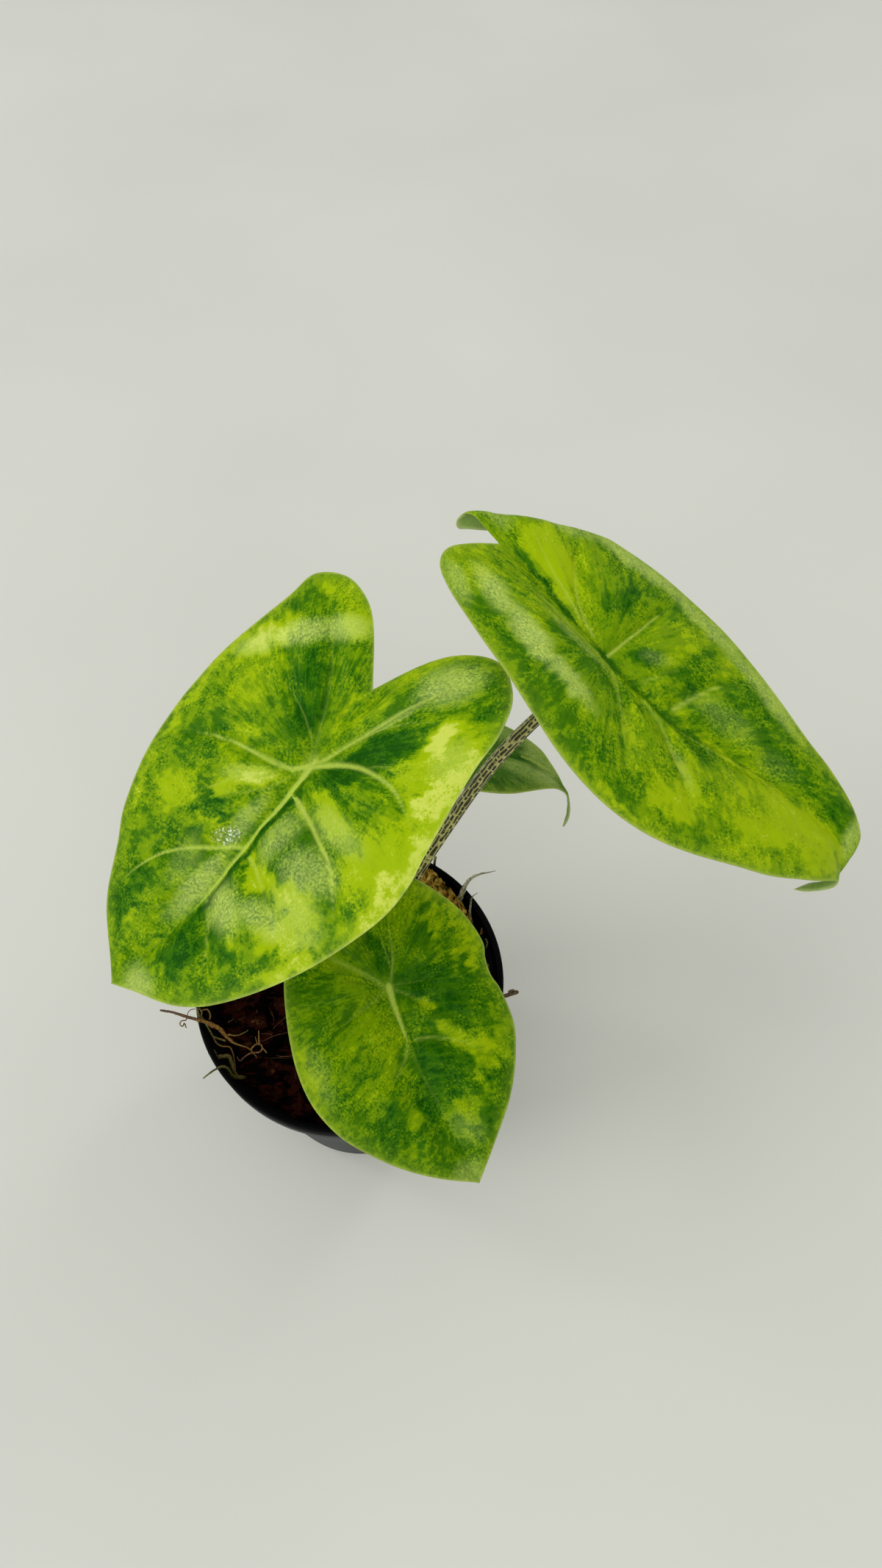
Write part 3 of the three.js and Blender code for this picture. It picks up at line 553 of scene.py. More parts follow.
def rolled(leaf, x, y, height):
    for roll in leaf.get("rolls", []):
        facing = math.radians(roll["facing"])
        radius = roll["radius"]
        beyond = (x - roll["at"][0]) * math.cos(facing) + (y - roll["at"][1]) * math.sin(facing)
        angle = np.minimum(beyond / radius, math.radians(roll["turn"]))
        rest = beyond - radius * angle
        out = (radius + height) * np.sin(angle) + rest * np.cos(angle)
        lift = (radius + height) * np.cos(angle) - radius - rest * np.sin(angle)
        on = beyond > 0
        x = np.where(on, x + (out - beyond) * math.cos(facing), x)
        y = np.where(on, y + (out - beyond) * math.sin(facing), y)
        height = np.where(on, lift, height)
    return x, y, height


def midlineAt(leaf, x):
    curve, length = throughPoints(leaf["midline"], np.linspace(0, 1, 400))
    return np.interp(x, curve[:, 0], curve[:, 1])


def bent(leaf, x, y, height):
    aside = midlineAt(leaf, x)
    x, y, height = rolled(leaf, x, y, height)
    y = y - aside
    run, rise, tilt = midribAt(leaf, x)
    fold = np.radians(np.where(y < 0, leaf["fold"][1], leaf["fold"][0]))
    droop = np.radians(leaf["droop"] - leaf.get("droopBack", 0) * x)
    soft = np.hypot(y, bladeLook["valley"]) - bladeLook["valley"]
    slope = (fold - droop * soft) * np.abs(y) / np.hypot(y, bladeLook["valley"])
    out = arcRun(np.abs(y), fold, droop)[0]
    up = arcRun(soft, fold, droop)[1]
    lift = up + height * np.cos(slope)
    bow = np.where(x < 0, leaf.get("bowBack", 0), leaf.get("bow", 0))
    sideways = np.sign(y) * (out - height * np.sin(slope)) + bow * x**2
    return np.stack([run - lift * np.sin(tilt), sideways + aside, rise + lift * np.cos(tilt)], -1)


def placed(leaf, points):  # rolled, dipped and turned about the hub
    heading, dip, roll = [math.radians(leaf[name]) for name in ("heading", "dip", "roll")]
    x, y, z = points.T
    y, z = y * math.cos(roll) - z * math.sin(roll), y * math.sin(roll) + z * math.cos(roll)
    x, z = x * math.cos(dip) + z * math.sin(dip), z * math.cos(dip) - x * math.sin(dip)
    x, y = x * math.cos(heading) - y * math.sin(heading), x * math.sin(heading) + y * math.cos(heading)
    return np.stack([x, y, z], -1) + leaf["joint"]


def nearLine(x, y, points):  # how far off a line lies, and at which share of its length
    points = np.asarray(points, float)
    nearest = np.full(x.shape, np.inf)
    share = np.zeros(x.shape)
    steps = len(points) - 1
    for index in range(steps):
        (ax, ay), (bx, by) = points[index:index + 2]
        along = ((x - ax) * (bx - ax) + (y - ay) * (by - ay)) / ((bx - ax) ** 2 + (by - ay) ** 2)
        along = np.clip(along, 0, 1)
        far = np.hypot(x - ax - along * (bx - ax), y - ay - along * (by - ay))
        share = np.where(far < nearest, (index + along) / steps, share)
        nearest = np.minimum(nearest, far)
    return nearest, share


def veinMarks(leaf, x, y):
    # paleness of the veins, below 0 for dark lines of painted shade along grooves and creases, how
    # deep they lie, and how far away the nearest deep one is; veins narrow along their way and fade
    # over its last third
    pale = np.zeros(x.shape)
    depth = np.zeros(x.shape)
    nearest = nearLine(x, y, throughPoints(leaf["midline"], np.linspace(0, 1, 40))[0])[0]
    for halfWidth, tone, sunk, points in leaf["veins"]:
        far, share = nearLine(x, y, throughPoints(points, np.linspace(0, 1, 12))[0])
        fade = np.clip((1 - share) / 0.3, 0, 1)
        width = halfWidth * (1.5 - 1.1 * share)
        mark = tone * np.exp(-((far / width) ** 2)) * fade
        pale = np.where(np.abs(mark) > np.abs(pale), mark, pale)
        depth = np.maximum(depth, sunk * np.exp(-((far / (0.7 + width)) ** 2)) * fade)
        if sunk >= 0.2:
            nearest = np.minimum(nearest, far + 3 * share)
    return pale, depth, nearest


def ripple(x, y, seed):  # low swells, and pleats that run out of the hub
    swells = []
    for px, py in zip(x, y):
        far = math.hypot(px, py) + 0.01
        pleat = noise.noise((7 * px / far, 7 * py / far, far / 14 + seed)) * min(far / 12, 1)
        broad = noise.noise((px / 6, py / 6, seed))
        fine = noise.noise((px / 2.4, py / 2.4, seed))
        swells.append(bladeLook["broad"] * broad + bladeLook["fine"] * fine + bladeLook["pleats"] * pleat)
    return np.array(swells)


def patchCover(x, y, patch, edge):
    px, py, halfLength, halfWidth, turn = patch[:5]
    turn = math.radians(turn)
    along = (x - px) * math.cos(turn) + (y - py) * math.sin(turn)
    across = (y - py) * math.cos(turn) - (x - px) * math.sin(turn)
    inside = np.clip((1 + edge - np.hypot(along / halfLength, across / halfWidth)) / (2 * edge), 0, 1)
    return inside * inside * (3 - 2 * inside)


def feathered(x, y):  # places moved along the rays out of the hub, so that patches end in streaks
    angle = np.arctan2(y, x)
    far = np.hypot(x, y)
    longStreak, shortStreak = bladeLook["streaks"]
    broadWander, fineWander = bladeLook["wander"]
    out = []
    aside = []
    for px, py, turn, reach in zip(x, y, angle, far):
        rayX, rayY = math.cos(turn), math.sin(turn)
        broad = noise.noise((9 * rayX, 9 * rayY, reach / 9))
        fine = noise.noise((26 * rayX, 26 * rayY, reach / 4))
        out.append((longStreak * broad + shortStreak * fine) * min(0.2 + reach / 16, 1))
        broad = noise.noise((px / 3.2, py / 3.2, 4.5))
        fine = noise.noise((px, py, 7.5))
        aside.append(broadWander * broad + fineWander * fine)
    out = np.array(out)
    aside = np.array(aside)
    movedX = x + out * np.cos(angle) - aside * np.sin(angle)
    movedY = y + out * np.sin(angle) + aside * np.cos(angle)
    return movedX, movedY


def bladeGrid(leaf, u, v):
    # spokes from the midrib to the margin: places, share of the way, distance left to the margin
    steps = np.linspace(0, 1, leaf["spokes"] // 2 + 1)
    halves = [throughPoints([leaf["tip"], *side, leaf["notch"]], steps)[0] for side in leaf["sides"]]
    edge = np.vstack([halves[0], halves[1][::-1][1:]])
    share = 1 - (1 - v) ** bladeLook["crowding"]
    spoke = np.rint(u * leaf["spokes"]).astype(int)
    fromTip = np.minimum(spoke, leaf["spokes"] - spoke) / leaf["spokes"]
    startX = leaf["tip"][0] * np.clip(1 - fromTip / bladeLook["front"], 0, 1)
    startY = midlineAt(leaf, startX)
    edgeX, edgeY = edge[spoke].T
    x = startX + (edgeX - startX) * share
    y = startY + (edgeY - startY) * share
    return x, y, share, np.hypot(edgeX - x, edgeY - y)


def paintBlade(blade, leaf, x, y, toMargin, pale):
    wavyX, wavyY = feathered(x, y)
    tone = np.full(x.shape, float(leaf["base"]))
    for patch in leaf["patches"]:
        tone += (patch[5] - tone) * patchCover(wavyX, wavyY, patch, bladeLook["patchEdge"])
    # painted sheen: how strongly a pale highlight is painted into the colour
    frost = np.zeros(x.shape)
    for patch in leaf["frost"]:
        cover = patchCover((2 * x + wavyX) / 3, (2 * y + wavyY) / 3, patch, bladeLook["paintedSheenEdge"])
        frost = np.maximum(frost, patch[5] * cover)
    mapFlat(blade, x, y)
    paint(blade, "tone", tone)
    paint(blade, "frost", frost)
    paint(blade, "vein", pale)
    paint(blade, "rim", np.exp(-((toMargin / bladeLook["margin"]) ** 2)))
    paint(blade, "nearRim", np.exp(-((toMargin / bladeLook["nearMargin"]) ** 2)))
    if "wet" in leaf:
        paint(blade, "wet", patchCover(x, y, leaf["wet"], bladeLook["wetEdge"]))


def thinMargin(blade, toMargin):  # the last millimetre thins out
    edge = bladeLook["thinEdge"]
    thin = blade.vertex_groups.new(name="thickness")
    for index, far in enumerate(toMargin):
        thin.add([index], edge + (1 - edge) * min(far, 1), "REPLACE")


def makeBlade(name, leaf):
    blade, u, v = gridSheet("leafBlade_" + name, leaf["spokes"], leaf["rings"])
    x, y, share, toMargin = bladeGrid(leaf, u, v)
    pale, depth, fromVein = veinMarks(leaf, x, y)
    inner = 1 - share**4
    swollen = 1 - np.exp(-((fromVein / bladeLook["swellReach"]) ** 2))
    puffed = bladeLook["swell"] * leaf["puff"] * swollen
    height = puffed * inner - depth + ripple(x, y, leaf["joint"][0]) * inner
    paintBlade(blade, leaf, x, y, toMargin, pale)
    thinMargin(blade, toMargin)
    moveTo(blade, placed(leaf, bent(leaf, x, y, height + bladeLook["above"])))
    closed(blade)
    if sum(face.normal.z * face.area for face in blade.data.polygons) < 0:
        blade.data.flip_normals()
    for material in (bladeTop(name, "wet" in leaf), bladeUnder, bladeRim):
        blade.data.materials.append(material)
    applied(blade, "SOLIDIFY", thickness=(bladeLook["above"] + bladeLook["below"]) * mm, offset=-1,
            vertex_group="thickness", material_offset=1, material_offset_rim=2)
    smooth(blade, 50)
    finish(blade, "blade_dull" if name == "back" else "blade", "blade_" + name)


leafLook = {
    "levels": 4,  # tones gather at quarters
    "tones": [
        (0.0, srgb(20, 78, 0)), (0.2, srgb(45, 102, 0)), (0.42, srgb(96, 140, 0)),
        (0.62, srgb(140, 172, 0)), (0.8, srgb(162, 190, 2)), (1.0, srgb(204, 218, 88)),
    ],
    "dullTones": [
        (0.0, srgb(26, 74, 4)), (0.3, srgb(72, 112, 24)),
        (0.6, srgb(118, 144, 50)), (1.0, srgb(160, 178, 80)),
    ],
    "underTones": [(0.2, srgb(98, 132, 44)), (0.55, srgb(132, 162, 74)), (0.9, srgb(160, 184, 104))],
    # The first colour is a painted highlight, the third painted shade along grooves and creases.
    "frost": srgb(206, 226, 116), "paleVein": srgb(190, 212, 84), "paintedGrooveShade": srgb(24, 78, 0),
    "nearRim": srgb(164, 188, 56), "rim": srgb(196, 210, 104),
    # soaked darkens the wet spot, and glint is the colour of the highlights painted on it
    "soaked": srgb(20, 66, 6), "glint": srgb(240, 248, 232),
    "underVein": srgb(184, 200, 130), "underRim": srgb(206, 216, 150),
}


def bladeTop(name, wet):
    material, shader, wire = newMaterial("leafTop_" + name, Specular_IOR_Level=0.03, Coat_Roughness=0.34)
    flat = flatPlace(wire)
    fan = wire.node("ShaderNodeUVMap", {"uv_map": "UVMap"})
    streak = fan.stretched(150, 7).noise(1, 4, 0.65)
    grain = flat.noise(1.7, 5, 0.7)
    speck = fan.stretched(520, 60).noise(1, 2, 0.6)
    splash = flat.noise(0.28, 7, 0.66).rise(0.42, 0.58) - 0.5
    speckled = 0.25 + flat.noise(0.13, 2).rise(0.4, 0.6)
    fromHub = flat.node("ShaderNodeVectorMath", {"operation": "LENGTH"}, {0: flat}, 1)
    tone = painted(wire, "tone")
    mottled = 0.55 + 0.55 * tone.rise(0, 0.2) * (1 - tone.rise(0.55, 0.75))
    streaked = (streak - 0.5) * (0.3 + 0.5 * fromHub.rise(3, 18)) + splash * leaves[name]["splash"]
    tone = tone + (streaked + ((grain - 0.5) * 0.9 + (speck - 0.5) * 0.5) * speckled) * mottled
    tones = leafLook["dullTones" if name == "back" else "tones"]
    colour = tone.layered(leafLook["levels"]).ramp(tones)
    # painted sheen: a pale highlight painted into the colour, broken up by specks; the same mask also
    # raises the real coat gloss
    frost = painted(wire, "frost")
    shine = frost * (0.46 + 0.36 * speck.rise(0.42, 0.6)) * (0.66 + 0.34 * grain.rise(0.4, 0.6))
    colour = colour.blend(leafLook["frost"], shine)
    vein = painted(wire, "vein")
    colour = colour.blend(leafLook["paleVein"], vein.rise(0, 0.9) * (0.4 + 0.8 * grain))
    # painted shade: dark lines darken the colour along grooves, creases and the sides of veins
    colour = colour.blend(leafLook["paintedGrooveShade"], (0 - vein).rise(0, 0.9) * (0.4 + 0.7 * grain))
    colour = colour.blend(leafLook["nearRim"], painted(wire, "nearRim") * 0.16)
    colour = colour.blend(leafLook["rim"], painted(wire, "rim") * 0.4)
    rough = 0.45 + (grain - 0.5) * 0.3
    height = grain * 0.5 + speck * 0.4 + streak * 0.8
    gloss = 0.03 + frost * 0.18
    if wet:
        soaked = painted(wire, "wet")
        # glint: near-white specks painted into the colour as highlights on the water
        glint = soaked * speck.rise(0.5, 0.6) * grain.rise(0.45, 0.55)
        colour = colour.blend(leafLook["soaked"], soaked * 0.3).blend(leafLook["glint"], glint)
        gloss = gloss + soaked * 0.5
    plug(colour, shader, "Base Color")
    plug(rough, shader, "Roughness")
    plug(gloss, shader, "Coat Weight")
    bump(height, shader, 0.6, 0.14)
    return material


def leafBack():
    material, shader, wire = newMaterial("leafUnderside", Specular_IOR_Level=0.4)
    flat = flatPlace(wire)
    grain = flat.noise(1.2, 4, 0.65)
    tone = painted(wire, "tone") * 0.5 + grain * 0.6
    colour = tone.ramp(leafLook["underTones"])
    colour = colour.blend(leafLook["underVein"], painted(wire, "vein").rise(0, 1) * 0.7)
    colour = colour.blend(leafLook["underRim"], painted(wire, "rim") * 0.6)
    plug(colour, shader, "Base Color")
    plug(0.5 + (grain - 0.5) * 0.2, shader, "Roughness")
    bump(grain, shader, 0.4, 0.15)
    return material


def leafEdge():
    material, shader, wire = newMaterial("leafMargin", Roughness=0.5)
    grain = flatPlace(wire).noise(0.8, 3)
    plug(grain.ramp([(0.3, srgb(132, 158, 52)), (0.7, srgb(188, 202, 112))]), shader, "Base Color")
    return material


bladeUnder = leafBack()
bladeRim = leafEdge()
for leafName, leafShape in leaves.items():
    makeBlade(leafName, leafShape)
    print("blade", leafName)


# Stalks, with rows of dark dashes along them

stalks = {
    "left": {"radius": (1.85, 1.2), "base": (0.4, 4.9), "route": [(0.5, 5, 85), (-1.8, 6.5, 125)]},
    "right": {"radius": (1.9, 1.25), "base": (7.2, 7.4),
              "route": [(12.1, 8.8, 88), (18, 10.6, 108.2), (25.8, 12.8, 127.7), (33.1, 15, 144.1),
                        (40.4, 17.1, 156.1)]},
    "front": {"radius": (1.7, 1.15), "base": (5.3, 1.4), "route": [(6, -1.5, 80), (8.6, -8.5, 94)]},
    "back": {"radius": (1.35, 0.95), "base": (3.6, 9.6), "route": [(8, 17.5, 77), (18, 33, 88)]},
}
stalkLook = {
    "foot": 61, "crownTop": 69,  # each stands upright between these heights
    "gap": 0.5,  # left between its end and the midrib
    "sides": 48, "steps": 90,
    "rows": 11, "dash": 0.75,  # rows of dashes round it, and how often they break up along it
    "rib": 0.04, "wave": 0.02,  # how far the rows stand out, and how uneven its thickness is
}


def stalkSkin():
    material, shader, wire = newMaterial("stalkSkin", Roughness=0.5)
    flat = flatPlace(wire)
    parts = flat.node("ShaderNodeSeparateXYZ", None, {0: flat})
    along = Wire(parts.tree, parts.socket.node.outputs[1])
    around = parts * (stalkLook["rows"] / aroundRod) + flat.stretched(0.4, 0.25).noise(1, 2) * 1.2
    row = around.maths("FLOOR", around)
    inRow = around - row
    line = inRow.rise(0.06, 0.28) * (1 - inRow.rise(0.74, 0.96))
    place = row.node("ShaderNodeCombineXYZ", None, {0: row * 7.3, 1: along * stalkLook["dash"]})
    dash = place.noise(1, 2, 0.6).rise(0.4, 0.47) * line
    grain = flat.stretched(3, 0.6).noise(1, 3, 0.6)
    colour = grain.ramp([(0.3, srgb(176, 170, 92)), (0.7, srgb(226, 220, 150))])
    colour = colour.blend(srgb(34, 26, 2), dash * (0.86 + 0.14 * grain.rise(0.3, 0.6)))
    plug(colour, shader, "Base Color")
    bump(line * 0.6 + grain, shader, 0.5, 0.12)
    return material


stalkMaterial = stalkSkin()
for stalkName, stalk in stalks.items():
    x, y = stalk["base"]
    joint = np.array(leaves[stalkName]["joint"], float)
    last = np.array(stalk["route"][-1], float)
    head = joint - (joint - last) / np.linalg.norm(joint - last) * stalkLook["gap"]
    route = [(x, y, stalkLook["foot"]), (x, y, stalkLook["crownTop"]), *stalk["route"], tuple(head)]
    thick, thin = stalk["radius"]

    def stalkRadius(share, turn):
        ribbed = stalkLook["rib"] * np.cos(stalkLook["rows"] * turn)
        wavy = 1 + stalkLook["wave"] * np.sin(19 * share)
        return (thick + (thin - thick) * share) * wavy + ribbed

    rod = tube("petiole_" + stalkName, route, stalkRadius, stalkLook["sides"], stalkLook["steps"])
    rod.data.materials.append(stalkMaterial)
    smooth(rod)
    finish(rod, "stalk", "stalk_" + stalkName)
print("stalks done")


# Pot: its foot's circle is extruded and widened, up the outside and down the inside

potLook = {
    "sides": 128,
    "profile": [
        (26.1, 0), (27.1, 0.4), (27.6, 1.5), (37.4, 61.2), (37.9, 61.5), (39.3, 62.3), (39.5, 62.9),
        (40, 69.3), (39.8, 69.8), (39.4, 70), (39, 69.8), (38.5, 69.4), (38.2, 63.6), (36.4, 62.1),
        (26.6, 2.9), (25.1, 1.3),
    ],
    "drains": 6, "drainRadius": 3, "drainRing": 20, "drainDepth": 6,
    # the outer wall's grey is a painted reflection of the pale floor; the inside and the lip's top stay
    # black
    "black": [(0.3, srgb(1, 1, 2)), (0.7, srgb(3, 4, 4))], "paintedFloorReflection": srgb(25, 33, 39),
    "scuffed": srgb(84, 90, 94),
    "reflectionTop": (60, 62),  # heights where the wall's painted reflection of the floor ends
    "lipOut": (39, 39.3), "lipTop": (64.5, 66.5),  # beyond these radii the lip carries the painted reflection too, up to these heights
}


def extrudeRings(profile):  # the selected ring is raised and widened to each next height and radius
    radius, height = profile[0]
    for nextRadius, nextHeight in profile[1:]:
        lift = (0, 0, (nextHeight - height) * mm)
        bpy.ops.mesh.extrude_region_move(TRANSFORM_OT_translate={"value": lift})
        bpy.ops.transform.resize(value=(nextRadius / radius, nextRadius / radius, 1),
                                 center_override=(0, 0, nextHeight * mm))
        radius, height = nextRadius, nextHeight


def closeRing():  # the selected ring is drawn in to the axis
    bpy.ops.mesh.extrude_edges_move()
    bpy.ops.transform.resize(value=(0.001, 0.001, 1), center_override=(0, 0, 0))
    bpy.ops.mesh.merge(type="COLLAPSE")


def cutDrains(pot):
    ring = potLook["drainRing"] * mm
    for index in range(potLook["drains"]):
        turn = 2 * math.pi * index / potLook["drains"]
        bpy.ops.mesh.primitive_cylinder_add(vertices=32, radius=potLook["drainRadius"] * mm,
                                            depth=potLook["drainDepth"] * mm,
                                            location=(ring * math.cos(turn), ring * math.sin(turn), 0))
        cutter = bpy.context.object
        applied(pot, "BOOLEAN", object=cutter, operation="DIFFERENCE", solver="EXACT")
        bpy.data.objects.remove(cutter)


def makePot():
    radius, height = potLook["profile"][0]
    bpy.ops.mesh.primitive_circle_add(vertices=potLook["sides"], radius=radius * mm,
                                      location=(0, 0, height * mm))
    pot = bpy.context.object
    pot.name = "potShell"
    only(pot)
    bpy.ops.object.mode_set(mode="EDIT")
    bpy.ops.mesh.select_all(action="SELECT")
    closeRing()
    bpy.ops.mesh.select_all(action="DESELECT")
    bpy.ops.object.mode_set(mode="OBJECT")
    for vertex in pot.data.vertices:
        vertex.select = vertex.co.xy.length > radius * mm * 0.9
    bpy.ops.object.mode_set(mode="EDIT")
    extrudeRings(potLook["profile"])
    closeRing()
    bpy.ops.object.mode_set(mode="OBJECT")
    closed(pot, 1e-5)
    cutDrains(pot)
    smooth(pot, 35)
    pot.data.materials.append(potPlastic())
    finish(pot, "pot", "pot")


def potPlastic():
    material, shader, wire = newMaterial("potPlastic", Specular_IOR_Level=0.03, Coat_Roughness=0.3)
    place = placeIn(wire)
    cloud = place.noise(0.06, 4, 0.6)
    scuff = place.stretched(1, 1, 6).noise(0.35, 5, 0.7)
    grain = place.noise(4, 3, 0.6)
    marks = scuff.rise(0.56, 0.72)
    height = place.node("ShaderNodeSeparateXYZ", None, {0: place}, 2)
    middle = place.stretched(1, 1, 0)
    radius = middle.node("ShaderNodeVectorMath", {"operation": "LENGTH"}, {0: middle}, 1)
    lip = radius.rise(*potLook["lipOut"]) * (1 - height.rise(*potLook["lipTop"]))
    wall = 1 - height.rise(*potLook["reflectionTop"]) * (1 - lip)
    # painted reflection: the outer wall and the lip's face are lifted to grey, the rest stays black
    colour = cloud.ramp(potLook["black"]).blend(potLook["paintedFloorReflection"], wall * 0.85)
    colour = colour.blend(potLook["scuffed"], marks * (0.03 + 0.25 * wall))
    plug(colour, shader, "Base Color")
    plug(0.5 + marks * 0.2 + (cloud - 0.5) * 0.2, shader, "Roughness")
    plug(wall * 0.25, shader, "Coat Weight")
    bump(grain * 0.6 + scuff, shader, 0.35, 0.08)
    return material


makePot()
print("pot done")


# Potting mix: a plug with rough ground, chips of bark and threads of coir

mixLook = {
    "level": 60.6, "swells": 1.1, "crumbs": 0.5,  # the ground's height, and what it rises and falls by
    "chips": 420, "chipSizes": (3.2, 4.4, 6, 8), "chipSpread": 35, "chipReach": 36.4,
    "kinds": [(6, 0.13, 0.7), (9, 0.1, 0.4), (4, 0.16, 0.9)],  # threads: length, radius and curl
    "threads": 50, "threadReach": 33,  # how many of each kind, and how far from the pot's axis
    "sides": 120,
    # the plug, from the middle of its foot to the middle of its ground
    "rings": (0, 4, 6, 20, 60), "radii": (0, 24.4, 25.4, 37.1, 0), "heights": (1.7, 1.7, 3, 60.6, 60.6),
}


def groundAt(x, y):
    swells = mixLook["swells"] * noise.noise((x / 5, y / 5, 3.1))
    crumbs = mixLook["crumbs"] * noise.noise((x / 1.6, y / 1.6, 8.7))
    return mixLook["level"] + swells + crumbs


def barkMaterial():
    material, shader, wire = newMaterial("barkInPaintedShade", Roughness=0.85, Specular_IOR_Level=0.03)
    place = placeIn(wire)
    patch = place.stretched(1, 1.8, 1).noise(0.2, 4, 0.62)
    grain = place.stretched(1, 3, 1).noise(1.4, 5, 0.7)
    # mostly painted nearly black as the shade under the leaves, with a few reddish and tan patches
    colour = (patch * 0.8 + grain * 0.2).ramp([
        (0.34, srgb(1, 0, 0)), (0.5, srgb(4, 1, 0)), (0.55, srgb(48, 12, 4)), (0.6, srgb(20, 9, 4)),
        (0.68, srgb(96, 58, 28)),
    ])
    plug(colour, shader, "Base Color")
    bump(grain + patch, shader, 0.8, 0.4)
    return material


def barkChip():  # one rough chip, a millimetre across
    bpy.ops.mesh.primitive_cube_add(size=mm)
    chip = bpy.context.object
    only(chip)
    bpy.ops.object.mode_set(mode="EDIT")
    bpy.ops.mesh.select_all(action="SELECT")
    bpy.ops.mesh.subdivide(number_cuts=1, smoothness=0.4)
    bpy.ops.transform.vertex_random(offset=0.09 * mm, seed=3)
    bpy.ops.object.mode_set(mode="OBJECT")
    return chip


def strand(seed, length, radius, curl):  # one thread that wanders about the origin
    draw = random.Random(seed)
    heading = 0
    x, y = -length / 2, 0
    route = []
    for part in range(6):
        route.append((x, y, curl * draw.uniform(0, 0.6)))
        x += length / 5 * math.cos(heading)
        y += length / 5 * math.sin(heading)
        heading += curl * draw.uniform(-1, 1)
    return tube("strand", route, lambda share, turn: radius * (1 - 0.5 * share), 5, 10)


def scattered(template, name, places):
    # the template's mesh copied to each place: centre, three axes
    points = corners(template.data) / mm
    faces = [tuple(face.vertices) for face in template.data.polygons]
    allPoints = []
    allFaces = []
    for centre, axes in places:
        start = len(allPoints) * len(points)
        allPoints.append(points @ np.array(axes) + centre)
        allFaces += [tuple(start + index for index in face) for face in faces]
    mesh = bpy.data.meshes.new(name)
    mesh.from_pydata((np.vstack(allPoints) * mm).tolist(), [], allFaces)
    made = bpy.data.objects.new(name, mesh)
    bpy.context.scene.collection.objects.link(made)
    bpy.data.objects.remove(template)
    return made


def tangle(name, kinds, count, spot):
    # many copies of a few threads; spot gives each a place and the way that is up there
    draw = random.Random(len(name))
    parts = []
    for seed, (length, radius, curl) in enumerate(kinds):
        places = []
        for index in range(count):
            centre, up = spot(draw)
            along = up.orthogonal().normalized()
            side = up.cross(along)
            turn = draw.uniform(0, 2 * math.pi)
            size = draw.uniform(0.6, 1.3)
            first = (along * math.cos(turn) + side * math.sin(turn)) * size
            second = (side * math.cos(turn) - along * math.sin(turn)) * size
            places.append((np.array(centre), [tuple(first), tuple(second), tuple(up * size)]))
        parts.append(scattered(strand(seed, length, radius, curl), name + str(seed), places))
    return joinedAs(name, parts)


def onGround(draw):
    angle = draw.uniform(0, 2 * math.pi)
    far = mixLook["threadReach"] * math.sqrt(draw.random())
    x, y = far * math.cos(angle), far * math.sin(angle)
    place = (x, y, groundAt(x, y) + draw.uniform(0.6, 2))
    return place, Vector((draw.gauss(0, 0.25), draw.gauss(0, 0.25), 1)).normalized()


def chipPlaces():
    draw = random.Random(11)
    places = []
    for index in range(mixLook["chips"]):
        size = draw.choice(mixLook["chipSizes"]) * draw.uniform(0.75, 1.2)
        far = min(mixLook["chipSpread"] * math.sqrt(draw.random()), mixLook["chipReach"] - size * 0.6)
        angle = draw.uniform(0, 2 * math.pi)
        x, y = far * math.cos(angle), far * math.sin(angle)
        along = Vector((draw.gauss(0, 1), draw.gauss(0, 1), draw.gauss(0, 0.35))).normalized()
        side = along.cross(Vector((draw.gauss(0, 0.3), draw.gauss(0, 0.3), 1))).normalized()
        axes = [along * size, side * size * draw.uniform(0.35, 0.6),
                along.cross(side) * size * draw.uniform(0.18, 0.35)]
        centre = np.array([x, y, groundAt(x, y) + draw.uniform(0, 0.8)])
        places.append((centre, [tuple(axis) for axis in axes]))
    return places


def makeMix():
    last = mixLook["rings"][-1]
    ground, u, v = gridSheet("barkMix", mixLook["sides"], last)
    ring = np.rint(v * last).astype(int)
    radius = np.interp(ring, mixLook["rings"], mixLook["radii"])
    height = np.interp(ring, mixLook["rings"], mixLook["heights"])
    x = radius * np.cos(2 * np.pi * u)
    y = radius * np.sin(2 * np.pi * u)
    rough = [groundAt(px, py) for px, py in zip(x, y)]
    moveTo(ground, np.stack([x, y, np.where(ring >= mixLook["rings"][3], rough, height)], -1))
    closed(ground)
    chips = scattered(barkChip(), "barkChips", chipPlaces())
    mix = joinedAs("barkMix", [ground, chips])
    mix.data.materials.append(barkMaterial())
    coir = tangle("coirThreads", mixLook["kinds"], mixLook["threads"], onGround)
    coir.data.materials.append(fibreMaterial("coirThreads", (34, 16, 8), (78, 44, 20), (124, 86, 42)))
    mix = joinedAs("barkMix", [mix, coir])
    smooth(mix, 35)
    finish(mix, "mix", "potting_mix")


def fibreMaterial(name, dark, middle, pale):
    material, shader, wire = newMaterial(name, Roughness=0.8, Specular_IOR_Level=0.25)
    place = placeIn(wire)
    patch = place.noise(0.5, 3, 0.6)
    grain = place.noise(2.4, 4, 0.65)
    stops = [(0.34, srgb(*dark)), (0.5, srgb(*middle)), (0.66, srgb(*pale))]
    plug((patch * 0.6 + grain * 0.4).ramp(stops), shader, "Base Color")
    bump(grain, shader, 0.7, 0.25)
    return material


makeMix()
print("mix done")


# Dry sphagnum: three lumps covered with curled threads

mossLook = {
    "lumps": [
        {"at": (20.2, 30, 65.5), "size": (5.6, 5, 8)},
        {"at": (25.8, 25.6, 64), "size": (5.2, 4.6, 6)},
        {"at": (29.3, 20.6, 63), "size": (3.6, 4.4, 5.5)},
    ],
    "core": 0.8, "tufted": 0.22,  # the lump under the threads, and how uneven it is
    "kinds": [(8, 0.75, 0.5), (11, 0.55, 0.35), (6, 0.9, 0.6)],  # threads: length, radius and curl
    "threads": 13, "sunk": 0.94,  # how many of each kind, and at which share of the lump's size they lie
    "reach": 36.2,  # threads stay this near to the pot's axis
}


